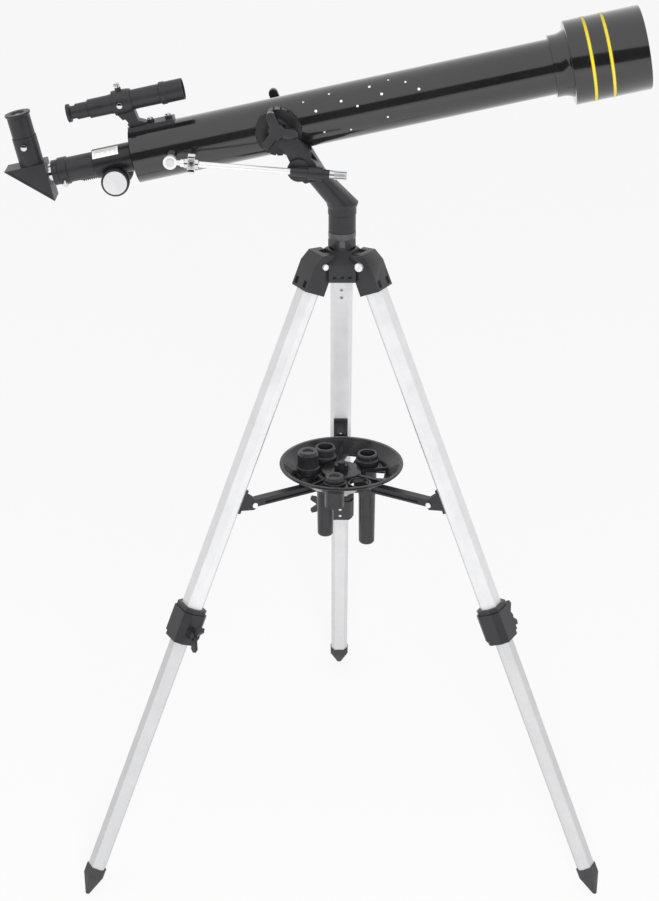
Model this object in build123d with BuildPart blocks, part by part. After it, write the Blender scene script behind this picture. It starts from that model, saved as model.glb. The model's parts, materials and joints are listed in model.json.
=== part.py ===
from build123d import *
import os
from math import atan2, cos, degrees, hypot, pi, radians, sin

os.makedirs("parts", exist_ok=True)

# A small altazimuth refractor on a folding aluminium tripod, in millimetres.
# World frame: Z up, floor at Z = 0, azimuth axis through the origin. The tube points along +X and
# leans up by tube_elevation. -Y is the near side, where the focus knob and the slow motion rod are.

# ---------------------------------------------------------------- driving sizes
fit = 0.05                    # radial clearance of a turning or sliding fit
gap = 0.3                     # face clearance between pieces that move past each other

# tripod
leg_azimuths = {"left": 210, "right": 330, "back": 90}
leg_pivot_radius = 34.0
leg_pivot_height = 811.0
stance_radius = 386.7
leg_tube_half_width = 14.0
leg_tube_wall = 1.3
leg_slide_clearance = 0.35
clamp_distance = 486.5        # from the leg pivot to the middle of the leg clamp
clamp_length = 48.0
lower_leg_overlap = 62.0      # of the lower leg inside the upper one, above the clamp
foot_length = 42.0
pivot_bolt_radius = 3.0
bolt_head_radius = 5.4
bolt_head_height = 4.0

# hub and column
lug_thickness = 14.0
leg_top_width = 34.0
hub_half_width = 16.5
hub_apothem = 33.0
hub_bottom = 791.0
hub_top = 829.0
neck_radius = 16.6
collar_radius = 17.5
collar_bottom = 847.0
collar_top = 883.0
post_radius = 11.0

# spreader and tray
brace_pivot_radius = 131.2
brace_pivot_height = 510.4
brace_inner_radius = 30.0
brace_width = 11.0
brace_height = 10.0
tray_floor = 518.3
tray_depth = 17.5
tray_radius = 79.8
tray_floor_radius = 58.0
tray_wall = 2.2
tray_hole_radius = 12.6
tray_hole_circle = 43.0
tray_hole_azimuths = {"eyepiece_a": 176, "erecting": 119, "barlow": 38, "free": 302, "eyepiece_b": 258}
barrel_radius = 12.25         # the 24.5 mm barrels of all the accessories

# fork
tube_elevation = 12.2         # degrees above level at rest
pivot_x = -76.0
pivot_z = 984.0
fork_base_z = 893.0
fork_arm_gap = 72.0           # between the inner faces of the arms
fork_arm_thickness = 13.0
fork_arm_half_width = 15.0
pivot_radius = 4.0

# optical tube, measured along its axis from the altitude pivot
axis_drop = 6.8               # of the optical axis below the altitude pivot
tube_radius = 32.5
tube_wall = 1.2
tube_rear = -176.5
tube_front = 340.0
cell_rear = 326.0
cell_radius = 36.8
shield_rear = 346.0
shield_front = 435.0
shield_radius = 49.1
shield_wall = 1.8
lens_radius = 31.0

# focuser
housing_radius = 17.4
housing_rear = -226.0
drawtube_radius = 15.0
drawtube_rear = -277.0
drawtube_front = -150.0
pinion_u = -203.3
rack_module = 0.8
pinion_teeth = 9
focus_knob_radius = 16.8

# star diagonal and eyepiece
diagonal_face = -282.0
diagonal_top = 17.0
diagonal_length = 49.5
diagonal_drop = 30.0
diagonal_half_depth = 16.0
holder_u = -299.5
holder_radius = 14.6
holder_top = 50.5
eyepiece_top = 79.5

# finder
finder_height = 66.0
finder_rear = -241.5
finder_front = -100.8

# slow motion rod
rod_near = 58.0               # of the rod in front of the tube's centre plane
rod_eye_x = -200.4
rod_eye_z = 948.4
swivel_x = -51.4
swivel_z = 936.5
rod_radius = 3.6

# ---------------------------------------------------------------- derived frames
splay = atan2(stance_radius - leg_pivot_radius, leg_pivot_height)
leg_length = hypot(stance_radius - leg_pivot_radius, leg_pivot_height)
tilt = radians(tube_elevation)
tube_direction = Vector(cos(tilt), 0, sin(tilt))
axis_foot = Vector(pivot_x + axis_drop * sin(tilt), 0, pivot_z - axis_drop * cos(tilt))

# scope: sketch x along the tube, sketch y up, normal towards the near side
scope = Plane(origin=axis_foot, x_dir=tube_direction, z_dir=(0, -1, 0))
optical_axis = Axis(axis_foot, tube_direction)
vertical_axis = Axis((0, 0, 0), (0, 0, 1))
# front: sketch x along world X, sketch y along world Z, normal towards the near side
front = Plane(origin=(0, 0, 0), x_dir=(1, 0, 0), z_dir=(0, -1, 0))


def across(u, v=0.0, near=0.0):
    """Plane square to the tube at u, looking forward: sketch x up, sketch y towards the near side."""
    return Plane(scope.from_local_coords((u, v, near)), x_dir=scope.y_dir, z_dir=scope.x_dir)


def level(u, v, near=0.0):
    """Plane parallel to the top of the tube at height v, facing up: sketch x along the tube."""
    return Plane(scope.from_local_coords((u, v, near)), x_dir=scope.x_dir, z_dir=scope.y_dir)


def leg_frame(azimuth, along=0.0):
    """Plane square to a leg: sketch x outwards, sketch y tangential, normal up along the leg."""
    out = Vector(cos(radians(azimuth)), sin(radians(azimuth)), 0)
    up = Vector(0, 0, 1)
    frame = Plane(
        origin=out * leg_pivot_radius + up * leg_pivot_height,
        x_dir=out * cos(splay) + up * sin(splay),
        z_dir=up * cos(splay) - out * sin(splay),
    )
    return frame.offset(along)


def leg_side(azimuth):
    """Plane through a leg's middle: sketch x outwards, sketch y up along the leg."""
    frame = leg_frame(azimuth)
    return Plane(frame.origin, x_dir=frame.x_dir, z_dir=-frame.y_dir)


def radial_plane(azimuth):
    """Upright plane through the azimuth axis: sketch x outwards, sketch y up."""
    out = Vector(cos(radians(azimuth)), sin(radians(azimuth)), 0)
    return Plane((0, 0, 0), x_dir=out, z_dir=out.cross(Vector(0, 0, 1)))


def tangential_axis_plane(azimuth, radius, height):
    """Plane whose normal is the tangential direction of a leg, at a radius and a height."""
    out = Vector(cos(radians(azimuth)), sin(radians(azimuth)), 0)
    origin = out * radius + Vector(0, 0, height)
    return Plane(origin, x_dir=out, z_dir=Vector(0, 0, 1).cross(out))


# ---------------------------------------------------------------- shape helpers
def outline(plane, points):
    """A closed polygon on a plane."""
    with BuildSketch(plane) as shape:
        with BuildLine():
            Polyline(*points, close=True)
        make_face()
    return shape.sketch


def turned(plane, axis, points, mode=Mode.ADD):
    """Revolves a half section round an axis into the part being built."""
    revolve(outline(plane, points), axis=axis, mode=mode)


def cylinder(plane, radius, length, mode=Mode.ADD):
    """A cylinder standing on a plane, into the part being built."""
    with BuildSketch(plane) as disc:
        Circle(radius)
    extrude(disc.sketch, amount=length, mode=mode)


def hexagon(plane, radius, length, mode=Mode.ADD):
    """A hexagonal head standing on a plane."""
    with BuildSketch(plane) as head:
        RegularPolygon(radius, 6)
    extrude(head.sketch, amount=length, mode=mode)


def leg_profile(shrink=0.0):
    """Corners of the leg's eight-sided section: flatter inside than outside."""
    half = leg_tube_half_width - shrink
    crown = half - 6.0
    inner = half - 5.0
    return [
        (-half + 3.0, -inner),
        (-half + 8.0, -half),
        (half - 12.0, -half),
        (half - 3.0, -crown),
        (half - 3.0, crown),
        (half - 12.0, half),
        (-half + 8.0, half),
        (-half + 3.0, inner),
    ]


def export(builder, name):
    builder.part.label = name
    export_step(builder.part, f"parts/{name}.step")


# ---------------------------------------------------------------- tripod hub
# Three broad faces between the legs and three lugs that the leg tops straddle.
hub_corner = hub_half_width
pocket_radius = 20.0
pocket_half_width = leg_top_width / 2 + 0.6
lug_half_height = 11.0

with BuildPart() as hub:
    with BuildSketch(Plane.XY.offset(hub_bottom)):
        for azimuth in leg_azimuths.values():
            with Locations(Rotation(0, 0, azimuth + 180) * Pos(hub_apothem / 2, 0, 0)):
                Rectangle(hub_apothem, 2 * hub_corner)
        Circle(pocket_radius + 6)
    extrude(amount=hub_top - hub_bottom)
    chamfer(faces().sort_by(Axis.Z)[-1].edges(), 1.0)
    # the neck that the turning collar sits on
    with BuildSketch(Plane.XY.offset(hub_top - 1)):
        Circle(neck_radius + 3)
    with BuildSketch(Plane.XY.offset(collar_bottom - gap)):
        Circle(neck_radius)
    loft()
    for azimuth in leg_azimuths.values():
        with BuildSketch(Plane.XY.offset(hub_bottom - 1)):
            with Locations(Rotation(0, 0, azimuth) * Pos(pocket_radius + 20, 0, 0)):
                Rectangle(40, 2 * pocket_half_width)
        extrude(amount=hub_top - hub_bottom + 2, mode=Mode.SUBTRACT)
        lug_plane = tangential_axis_plane(azimuth, leg_pivot_radius, leg_pivot_height)
        side = lug_plane.offset(-lug_thickness / 2)
        cylinder(side, lug_half_height, lug_thickness)
        web = leg_pivot_radius - pocket_radius + 2
        with BuildSketch(side):
            with Locations((-web / 2, 0)):
                Rectangle(web, 2 * lug_half_height)
        extrude(amount=lug_thickness)
        cylinder(side.offset(-1), pivot_bolt_radius + fit, lug_thickness + 2, Mode.SUBTRACT)
        for way in (-1, 1):
            seat = lug_plane.offset(way * leg_top_width / 2)
            spot = Plane(seat.origin, x_dir=seat.x_dir, z_dir=seat.z_dir * way)
            cylinder(spot, bolt_head_radius + 0.8, bolt_head_height + 2, Mode.SUBTRACT)
    cylinder(Plane.XY.offset(hub_bottom - 1), post_radius, collar_bottom - hub_bottom + 10, Mode.SUBTRACT)
export(hub, "hub")

# The steel post: a pressed shank in the hub, the journal that the fork turns on, and a head
# that keeps the fork down.
post_head_radius = 14.0
post_top = collar_top - 9.0
with BuildPart() as column_post:
    cylinder(Plane.XY.offset(hub_bottom + 4), post_radius, post_top - hub_bottom - 4)
    chamfer(faces().sort_by(Axis.Z)[-1].edges(), 1.0)
    hexagon(Plane.XY.offset(hub_bottom - 4), post_radius + 4, 4)
    cylinder(Plane.XY.offset(hub_bottom), post_radius, 4)
export(column_post, "column_post")

# ---------------------------------------------------------------- legs
leg_top_above = 13.0
leg_top_below = 40.0
socket_depth = 20.0
slot_bottom = 16.0
cheek_slot = lug_thickness + 2 * gap
bolt_reach = leg_top_width / 2 + gap

with BuildPart() as leg_pivot_bolts:
    for azimuth in leg_azimuths.values():
        middle = tangential_axis_plane(azimuth, leg_pivot_radius, leg_pivot_height)
        cylinder(middle.offset(-bolt_reach), pivot_bolt_radius, 2 * bolt_reach)
        hexagon(middle.offset(-bolt_reach - bolt_head_height), bolt_head_radius, bolt_head_height)
        hexagon(middle.offset(bolt_reach), bolt_head_radius, bolt_head_height)
export(leg_pivot_bolts, "leg_pivot_bolts")

upper_leg_bottom = clamp_distance - 2.0
lower_leg_top = clamp_distance - lower_leg_overlap
lower_leg_bottom = leg_length - foot_length + 12.0
lower_shrink = leg_tube_wall + leg_slide_clearance

for name, azimuth in leg_azimuths.items():
    side_view = leg_side(azimuth)

    # plastic head of the leg: two cheeks round the hub's lug, and a socket for the tube
    with BuildPart() as leg_top:
        profile = outline(
            side_view,
            [(14, -leg_top_below), (14, -2), (8, leg_top_above), (-4, leg_top_above),
             (-10.5, 4), (-13.5, -10), (-14, -leg_top_below)],
        )
        extrude(profile, amount=leg_top_width / 2, both=True)
        outer_edges = edges().filter_by(Axis(side_view.origin, leg_frame(azimuth).z_dir))
        chamfer(outer_edges.sort_by(SortBy.LENGTH)[-4:], 2.5)
        slot = outline(side_view, [(-20, -slot_bottom), (20, -slot_bottom), (20, 20), (-20, 20)])
        extrude(slot, amount=cheek_slot / 2, both=True, mode=Mode.SUBTRACT)
        socket = outline(leg_frame(azimuth, -leg_top_below - 1), leg_profile(-fit))
        extrude(socket, amount=socket_depth + 1, mode=Mode.SUBTRACT)
        bolt_plane = tangential_axis_plane(azimuth, leg_pivot_radius, leg_pivot_height)
        cylinder(bolt_plane.offset(-30), pivot_bolt_radius + fit, 60, Mode.SUBTRACT)
    export(leg_top, f"leg_top_{name}")

    # outer aluminium tube, with two rivets through its inner face
    with BuildPart() as leg_upper:
        top = -leg_top_below + socket_depth
        section = outline(leg_frame(azimuth, -upper_leg_bottom), leg_profile())
        extrude(section, amount=upper_leg_bottom + top)
        bore = outline(leg_frame(azimuth, -upper_leg_bottom - 1), leg_profile(leg_tube_wall))
        extrude(bore, amount=upper_leg_bottom + top + 2, mode=Mode.SUBTRACT)
    export(leg_upper, f"leg_upper_{name}")

    # clamp sleeve on the end of the outer tube
    with BuildPart() as leg_clamp:
        half = clamp_length / 2
        low = -clamp_distance - half
        for start, length, swell in ((low, clamp_length, 4.0), (low + 6, clamp_length - 12, 5.5)):
            extrude(outline(leg_frame(azimuth, start), leg_profile(-swell)), amount=length)
        boss = tangential_axis_plane(azimuth, 0, 0)
        boss_plane = Plane(leg_frame(azimuth, -clamp_distance - 6).origin, x_dir=leg_frame(azimuth).x_dir,
                           z_dir=leg_frame(azimuth).y_dir)
        cylinder(boss_plane.offset(leg_tube_half_width + 2), 7.5, 8.5)
        upper_hole = outline(leg_frame(azimuth, -upper_leg_bottom), leg_profile(-fit))
        extrude(upper_hole, amount=clamp_length, mode=Mode.SUBTRACT)
        lower_hole = outline(leg_frame(azimuth, low - 1), leg_profile(lower_shrink - gap))
        extrude(lower_hole, amount=clamp_length, mode=Mode.SUBTRACT)
        cylinder(boss_plane, 2.5 + fit, 40, Mode.SUBTRACT)
    export(leg_clamp, f"leg_clamp_{name}")

    # wing screw that locks the lower leg
    with BuildPart() as leg_screw:
        tip = leg_tube_half_width - lower_shrink + gap
        seat = leg_tube_half_width + 10.5 + gap
        cylinder(boss_plane.offset(tip), 2.5, seat - tip + 1)
        cylinder(boss_plane.offset(seat), 6.0, 7.0)
        wing = Plane(boss_plane.offset(seat + 3).origin, x_dir=boss_plane.z_dir, z_dir=boss_plane.x_dir)
        with BuildSketch(wing) as wings:
            for way in (-1, 1):
                with BuildLine():
                    Polyline((0, 0), (6, way * 15), (13, way * 17), (15, way * 12), (4, 0), close=True)
                make_face()
        extrude(wings.sketch, amount=2.2, both=True)
    export(leg_screw, f"leg_screw_{name}")

    # inner tube
    with BuildPart() as leg_lower:
        section = outline(leg_frame(azimuth, -lower_leg_bottom), leg_profile(lower_shrink))
        extrude(section, amount=lower_leg_bottom - lower_leg_top)
        bore = outline(leg_frame(azimuth, -lower_leg_bottom - 1), leg_profile(lower_shrink + leg_tube_wall))
        extrude(bore, amount=lower_leg_bottom - lower_leg_top + 2, mode=Mode.SUBTRACT)
    export(leg_lower, f"leg_lower_{name}")

    # rubber boot, worn flat where it meets the floor
    with BuildPart() as foot:
        boot_top = foot_length
        loft(
            [
                outline(leg_frame(azimuth, -leg_length - 6), leg_profile(9.4)),
                outline(leg_frame(azimuth, -leg_length + boot_top - 14), leg_profile(lower_shrink - 1.2)),
            ],
            ruled=True,
        )
        extrude(outline(leg_frame(azimuth, -leg_length + boot_top - 14), leg_profile(lower_shrink - 1.2)),
                amount=14)
        socket = outline(leg_frame(azimuth, -lower_leg_bottom), leg_profile(lower_shrink - fit))
        extrude(socket, amount=30, mode=Mode.SUBTRACT)
        split(bisect_by=Plane.XY, keep=Keep.TOP)
    export(foot, f"foot_{name}")

    # hinge bracket on the inner face of the leg, with its pin
    along = (leg_pivot_height - brace_pivot_height) / cos(splay) \
        - (leg_pivot_radius + (leg_pivot_height - brace_pivot_height) * (sin(splay) / cos(splay))
           - brace_pivot_radius) * sin(splay)
    inner_face = -(leg_tube_half_width - 3.0)
    pin_plane = tangential_axis_plane(azimuth, brace_pivot_radius, brace_pivot_height)
    ear_outer = brace_width / 2 + gap + 3.0
    with BuildPart() as brace_hinge:
        plate = outline(
            side_view,
            [(inner_face - fit, -along - 15), (inner_face - fit, -along + 17),
             (inner_face - 3.5, -along + 17), (inner_face - 3.5, -along - 15)],
        )
        extrude(plate, amount=9.5, both=True)
        local_pin = side_view.to_local_coords(pin_plane.origin)
        ears = outline(
            side_view,
            [(inner_face - 3, -along + 12), (inner_face - 3, -along - 11),
             (local_pin.X - 2, local_pin.Y - 6.5), (local_pin.X - 5.5, local_pin.Y),
             (local_pin.X - 2, local_pin.Y + 6.5)],
        )
        extrude(ears, amount=ear_outer, both=True)
        tongue_room = outline(
            side_view,
            [(inner_face - 5, -along + 30), (inner_face - 5, -along - 30),
             (inner_face - 60, -along - 30), (inner_face - 60, -along + 30)],
        )
        extrude(tongue_room, amount=brace_width / 2 + gap, both=True, mode=Mode.SUBTRACT)
        cylinder(pin_plane.offset(-ear_outer - 1), 2.5, 2 * ear_outer + 2)
    export(brace_hinge, f"brace_hinge_{name}")

    # flat brace from the leg to the middle of the tray
    with BuildPart() as brace:
        reach = brace_pivot_radius - brace_inner_radius
        bar = radial_plane(azimuth)
        with BuildSketch(bar) as bar_shape:
            with Locations((brace_pivot_radius - reach / 2, brace_pivot_height)):
                SlotCenterToCenter(reach, brace_height)
        extrude(bar_shape.sketch, amount=brace_width / 2, both=True)
        with BuildSketch(bar) as waist:
            with Locations((brace_pivot_radius - reach / 2, brace_pivot_height)):
                Rectangle(reach - 34, brace_height - 5)
        for way in (-1, 1):
            extrude(waist.sketch.moved(Location(bar.z_dir * (way * brace_width / 2))),
                    amount=2.2, both=True, mode=Mode.SUBTRACT)
        cylinder(pin_plane.offset(-brace_width), 2.5 + fit, 2 * brace_width, Mode.SUBTRACT)
    export(brace, f"brace_{name}")

# ---------------------------------------------------------------- tray
tray_top = tray_floor + tray_depth
tray_section = radial_plane(0)
with BuildPart() as tray:
    turned(
        tray_section, vertical_axis,
        [(4, tray_floor), (tray_floor_radius, tray_floor), (tray_radius - 4, tray_top - 5),
         (tray_radius, tray_top - 3), (tray_radius, tray_top), (tray_radius - 5, tray_top),
         (tray_floor_radius - 1, tray_floor + tray_wall), (4, tray_floor + tray_wall)],
    )
    cylinder(Plane.XY.offset(tray_floor - 2), 10, 8)
    with BuildSketch(Plane.XY.offset(tray_floor + 1)):
        Circle(19)
        Circle(16.8, mode=Mode.SUBTRACT)
    extrude(amount=7)
    for azimuth in tray_hole_azimuths.values():
        with BuildSketch(Plane.XY.offset(tray_floor)):
            with Locations(Rotation(0, 0, azimuth) * Pos(tray_hole_circle, 0, 0)):
                Circle(tray_hole_radius + 2.2)
        extrude(amount=6)
    for azimuth in (147, 79, 350, 280, 217):
        with BuildSketch(Plane.XY.offset(tray_floor + 1)):
            with Locations(Rotation(0, 0, azimuth) * Pos(41, 0, 0)):
                Rectangle(48, 2.4)
        extrude(amount=7)
    for azimuth in tray_hole_azimuths.values():
        with BuildSketch(Plane.XY.offset(tray_floor - 1)):
            with Locations(Rotation(0, 0, azimuth) * Pos(tray_hole_circle, 0, 0)):
                Circle(tray_hole_radius)
        extrude(amount=12, mode=Mode.SUBTRACT)
    for azimuth in leg_azimuths.values():
        with BuildSketch(Plane.XY.offset(brace_pivot_height - 6)):
            for way in (-1, 1):
                with Locations(Rotation(0, 0, azimuth) * Pos(30, way * (brace_width / 2 + gap + 1.25), 0)):
                    Rectangle(14, 2.5)
        extrude(amount=tray_floor - brace_pivot_height + 7)
    cylinder(Plane.XY.offset(tray_floor - 5), 3 + fit, 20, Mode.SUBTRACT)
export(tray, "tray")

with BuildPart() as tray_knob:
    cylinder(Plane.XY.offset(tray_floor - 6), 3, 13)
    hexagon(Plane.XY.offset(tray_floor - 2 - 4), 5.4, 4)
    with BuildSketch(Plane.XY.offset(tray_floor + 6)):
        Circle(9)
        with PolarLocations(9.6, 6):
            RegularPolygon(2.6, 4, mode=Mode.SUBTRACT)
    extrude(amount=9)
    cylinder(Plane.XY.offset(tray_floor + 15), 5, 3)
export(tray_knob, "tray_knob")


def tray_item(azimuth):
    """Axis plane of a tray hole, at the top of the hole's ring."""
    a = radians(azimuth)
    return Plane((tray_hole_circle * cos(a), tray_hole_circle * sin(a), tray_floor + 6))


# Two spare eyepieces, an erecting eyepiece and a Barlow lens hang in the tray's holes.
for name, key, body_radius, body_height, barrel in (
    ("spare_eyepiece_low", "eyepiece_a", 13.6, 26, 24),
    ("spare_eyepiece_high", "eyepiece_b", 13.3, 12, 30),
):
    base = tray_item(tray_hole_azimuths[key])
    upright = Plane(base.origin, x_dir=(1, 0, 0), z_dir=(0, -1, 0))
    with BuildPart() as spare:
        turned(
            upright, Axis(base.origin, (0, 0, 1)),
            [(0, -barrel), (barrel_radius, -barrel), (barrel_radius, gap), (body_radius + 1.2, gap),
             (body_radius + 1.2, 4), (body_radius, 5), (body_radius, body_height - 4),
             (body_radius - 2, body_height), (7, body_height), (6, body_height - 2), (0, body_height - 2)],
        )
    export(spare, name)

for name, key, length, head in (
    ("erecting_eyepiece", "erecting", 112, 16),
    ("barlow_lens", "barlow", 118, 12),
):
    base = tray_item(tray_hole_azimuths[key])
    upright = Plane(base.origin, x_dir=(1, 0, 0), z_dir=(0, -1, 0))
    with BuildPart() as long_item:
        turned(
            upright, Axis(base.origin, (0, 0, 1)),
            [(9, -length), (10.4, -length + 2), (11.0, -50), (barrel_radius, -40), (barrel_radius, gap),
             (15.2, gap), (15.2, 3.5), (13.6, 5), (13.6, head - 2), (12.4, head), (10, head),
             (10, head - 30), (9, head - 34)],
        )
    export(long_item, name)

# ---------------------------------------------------------------- fork
# The fork is one casting: a collar that turns on the post, and a Y of two arms leaning back.
arm_dx = pivot_x
arm_dz = pivot_z - fork_base_z
arm_length = hypot(arm_dx, arm_dz)
arm_up = Vector(arm_dx / arm_length, 0, arm_dz / arm_length)
arm_normal = Vector(arm_up.Z, 0, -arm_up.X)
arm_outer = fork_arm_gap / 2 + fork_arm_thickness
arm_inner = fork_arm_gap / 2
fork_base = Vector(0, 0, fork_base_z)
# sketch x along world Y, sketch y up along the arms
fork_plane = Plane(fork_base, x_dir=(0, 1, 0), z_dir=arm_normal)
swivel_hole_radius = 10.0
swivel_boss_radius = 13.5

with BuildPart() as fork:
    cylinder(Plane.XY.offset(collar_bottom), collar_radius, collar_top - collar_bottom)
    cylinder(Plane.XY.offset(collar_top - 10), collar_radius + 0.7, 10)
    y_shape = outline(
        fork_plane,
        [(-22, -12), (22, -12), (24, 4), (arm_outer, 34), (arm_outer, arm_length),
         (arm_inner, arm_length), (arm_inner, 40), (13, 20), (-13, 20), (-arm_inner, 40),
         (-arm_inner, arm_length), (-arm_outer, arm_length), (-arm_outer, 34), (-24, 4)],
    )
    extrude(y_shape, amount=fork_arm_half_width, both=True)
    pivot_plane = Plane((pivot_x, 0, pivot_z), x_dir=(1, 0, 0), z_dir=(0, -1, 0))
    for side in (-1, 1):
        start = arm_inner if side > 0 else -arm_outer
        cylinder(pivot_plane.offset(start), fork_arm_half_width, fork_arm_thickness)
    # square shoulder over the collar, with the sharp lower corner at the front
    shoulder = outline(
        front,
        [(-19.5, collar_top - 0.5), (15, collar_top - 0.5), (19.5, collar_top + 4),
         (10.5, collar_top + 18), (-19.5, collar_top + 12)],
    )
    extrude(shoulder, amount=20, both=True)
    below = outline(front, [(-60, 700), (60, 700), (60, collar_top - 0.5), (-60, collar_top - 0.5)])
    with BuildSketch(Plane.XY.offset(collar_top - 40)) as skirt:
        Rectangle(120, 120)
        Circle(collar_radius + 0.7, mode=Mode.SUBTRACT)
    extrude(skirt.sketch, amount=40 - 0.5, mode=Mode.SUBTRACT)
    # boss and clearance hole for the swivel of the slow motion rod
    swivel_plane = Plane((swivel_x, 0, swivel_z), x_dir=(1, 0, 0), z_dir=(0, -1, 0))
    cylinder(swivel_plane.offset(arm_inner), swivel_boss_radius, fork_arm_thickness)
    cylinder(swivel_plane.offset(arm_inner - 1), swivel_hole_radius, fork_arm_thickness + 2, Mode.SUBTRACT)
    # pivot holes and the journal bore
    cylinder(pivot_plane.offset(-arm_outer - 1), pivot_radius + fit, 2 * arm_outer + 2, Mode.SUBTRACT)
    cylinder(Plane.XY.offset(collar_bottom - 1), post_radius + fit, post_top + gap - collar_bottom + 1,
             Mode.SUBTRACT)
export(fork, "fork")

# ---------------------------------------------------------------- altitude pivots and knobs
near_disc_radius = 27.5
boss_face = arm_inner - gap
with BuildPart() as saddle:
    disc_plane = Plane((pivot_x, 0, pivot_z), x_dir=scope.x_dir, z_dir=(0, -1, 0))
    centre = Plane(axis_foot, x_dir=scope.x_dir, z_dir=(0, -1, 0))
    with BuildSketch(centre):
        Circle(near_disc_radius)
        with PolarLocations(near_disc_radius, 20):
            RegularPolygon(2.0, 3, rotation=180, mode=Mode.SUBTRACT)
    extrude(amount=boss_face)
    cylinder(disc_plane.offset(-boss_face), 13.5, boss_face)
    cylinder(across(-60), tube_radius + fit, 120, Mode.SUBTRACT)
    cylinder(disc_plane.offset(-boss_face - 1), pivot_radius + fit, 2 * boss_face + 2, Mode.SUBTRACT)
export(saddle, "saddle")

knob_seat = arm_outer + gap
lobe_angles = (112, 232, 352)
for name, way in (("near", 1), ("far", -1)):
    base = Plane((pivot_x, 0, pivot_z), x_dir=(1, 0, 0), z_dir=(0, -way, 0))
    with BuildPart() as altitude_knob:
        shank_start = tube_radius + 0.6
        cylinder(base.offset(shank_start), pivot_radius, knob_seat - shank_start + 1)
        cylinder(base.offset(knob_seat), 9, 4)
        with BuildSketch(base.offset(knob_seat + 3)) as star:
            Circle(9.5)
            for angle in lobe_angles:
                with Locations(Rotation(0, 0, way * angle) * Pos(9.5, 0, 0)):
                    SlotCenterToCenter(19, 11)
        extrude(star.sketch, amount=9)
        chamfer(faces().sort_by(Axis(base.origin, base.z_dir))[-1].edges(), 1.6)
    export(altitude_knob, f"altitude_knob_{name}")

# ---------------------------------------------------------------- optical tube
with BuildPart() as main_tube:
    cylinder(across(tube_rear), tube_radius, tube_front - tube_rear)
    cylinder(across(tube_rear - 1), tube_radius - tube_wall, tube_front - tube_rear + 2, Mode.SUBTRACT)
export(main_tube, "main_tube")

cell_neck = 40.0
lens_seat = 352.0
lens_thickness = 10.0
with BuildPart() as lens_cell:
    turned(
        scope, optical_axis,
        [(cell_rear, tube_radius + fit), (cell_rear, cell_radius), (cell_rear + 9, cell_radius),
         (cell_rear + 12, cell_radius + 0.7), (cell_rear + 16, cell_radius + 1.9),
         (shield_rear - gap, cell_neck), (shield_rear + 18, cell_neck), (shield_rear + 18, 30),
         (lens_seat + lens_thickness, 30), (lens_seat + lens_thickness, lens_radius + fit),
         (lens_seat, lens_radius + fit), (lens_seat, 29), (tube_front + fit, 29),
         (tube_front + fit, tube_radius + fit)],
    )
export(lens_cell, "lens_cell")

lens_rear = lens_seat + 0.1
lens_front = lens_seat + lens_thickness - 0.2
lens_sag = 3.0
with BuildPart() as objective_lens:
    with BuildSketch(scope):
        with BuildLine():
            lens_rim = (lens_front - lens_sag, lens_radius)
            Polyline(lens_rim, (lens_rear, lens_radius), (lens_rear, 0), (lens_front, 0))
            TangentArc((lens_front, 0), lens_rim, tangent=(0, 1))
        make_face()
    revolve(axis=optical_axis)
export(objective_lens, "objective_lens")

with BuildPart() as dew_shield:
    turned(
        scope, optical_axis,
        [(shield_rear, cell_neck + fit), (shield_rear, shield_radius - 1), (shield_rear + 1, shield_radius),
         (shield_front - 1, shield_radius), (shield_front, shield_radius - 1),
         (shield_front, shield_radius - shield_wall), (shield_rear + 3, shield_radius - shield_wall),
         (shield_rear + 3, cell_neck + 2.5), (shield_rear + 16, cell_neck + 2.5),
         (shield_rear + 16, cell_neck + fit)],
    )
export(dew_shield, "dew_shield")

# ---------------------------------------------------------------- focuser
pitch_radius = rack_module * pinion_teeth / 2
rack_root_v = -drawtube_radius - 0.3
rack_pitch_v = rack_root_v - 1.1 * rack_module
rack_tip_v = rack_pitch_v - 0.9 * rack_module
pinion_v = rack_pitch_v - pitch_radius
tooth_pitch = pi * rack_module
rack_rear = -247.0
rack_front = -158.0
shaft_radius = 2.0

with BuildPart() as focuser_housing:
    turned(
        scope, optical_axis,
        [(housing_rear, drawtube_radius + fit), (housing_rear, housing_radius - 0.8),
         (housing_rear + 0.8, housing_radius), (tube_rear - 3.5, housing_radius),
         (tube_rear - 2.5, housing_radius + 3), (tube_rear - fit, tube_radius),
         (tube_rear - fit, tube_radius - tube_wall - fit), (tube_rear + 14, tube_radius - tube_wall - fit),
         (tube_rear + 14, drawtube_radius + 6), (tube_rear + 4, drawtube_radius + fit)],
    )
    # pinion box under the housing
    box_low = pinion_v - 7.5
    with BuildSketch(scope) as box_shape:
        with Locations((pinion_u, (box_low - 13) / 2)):
            Rectangle(24, -13 - box_low)
    extrude(box_shape.sketch, amount=13, both=True)
    cylinder(across(housing_rear - 1), drawtube_radius + fit, tube_rear - housing_rear + 5, Mode.SUBTRACT)
    # way for the rack
    rack_way_top = -drawtube_radius + 2
    rack_way_low = rack_tip_v - gap
    with BuildSketch(scope) as rack_way:
        with Locations(((housing_rear + tube_rear) / 2 + 10, (rack_way_top + rack_way_low) / 2)):
            Rectangle(tube_rear - housing_rear + 60, rack_way_top - rack_way_low)
    extrude(rack_way.sketch, amount=3.4, both=True, mode=Mode.SUBTRACT)
    # pinion chamber and shaft holes
    pinion_plane = Plane(scope.from_local_coords((pinion_u, pinion_v, 0)), x_dir=scope.x_dir,
                         z_dir=(0, -1, 0))
    cylinder(pinion_plane.offset(-3.4), pitch_radius + rack_module + 0.4, 6.8, Mode.SUBTRACT)
    cylinder(pinion_plane.offset(-20), shaft_radius + fit, 40, Mode.SUBTRACT)
export(focuser_housing, "focuser_housing")

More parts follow.
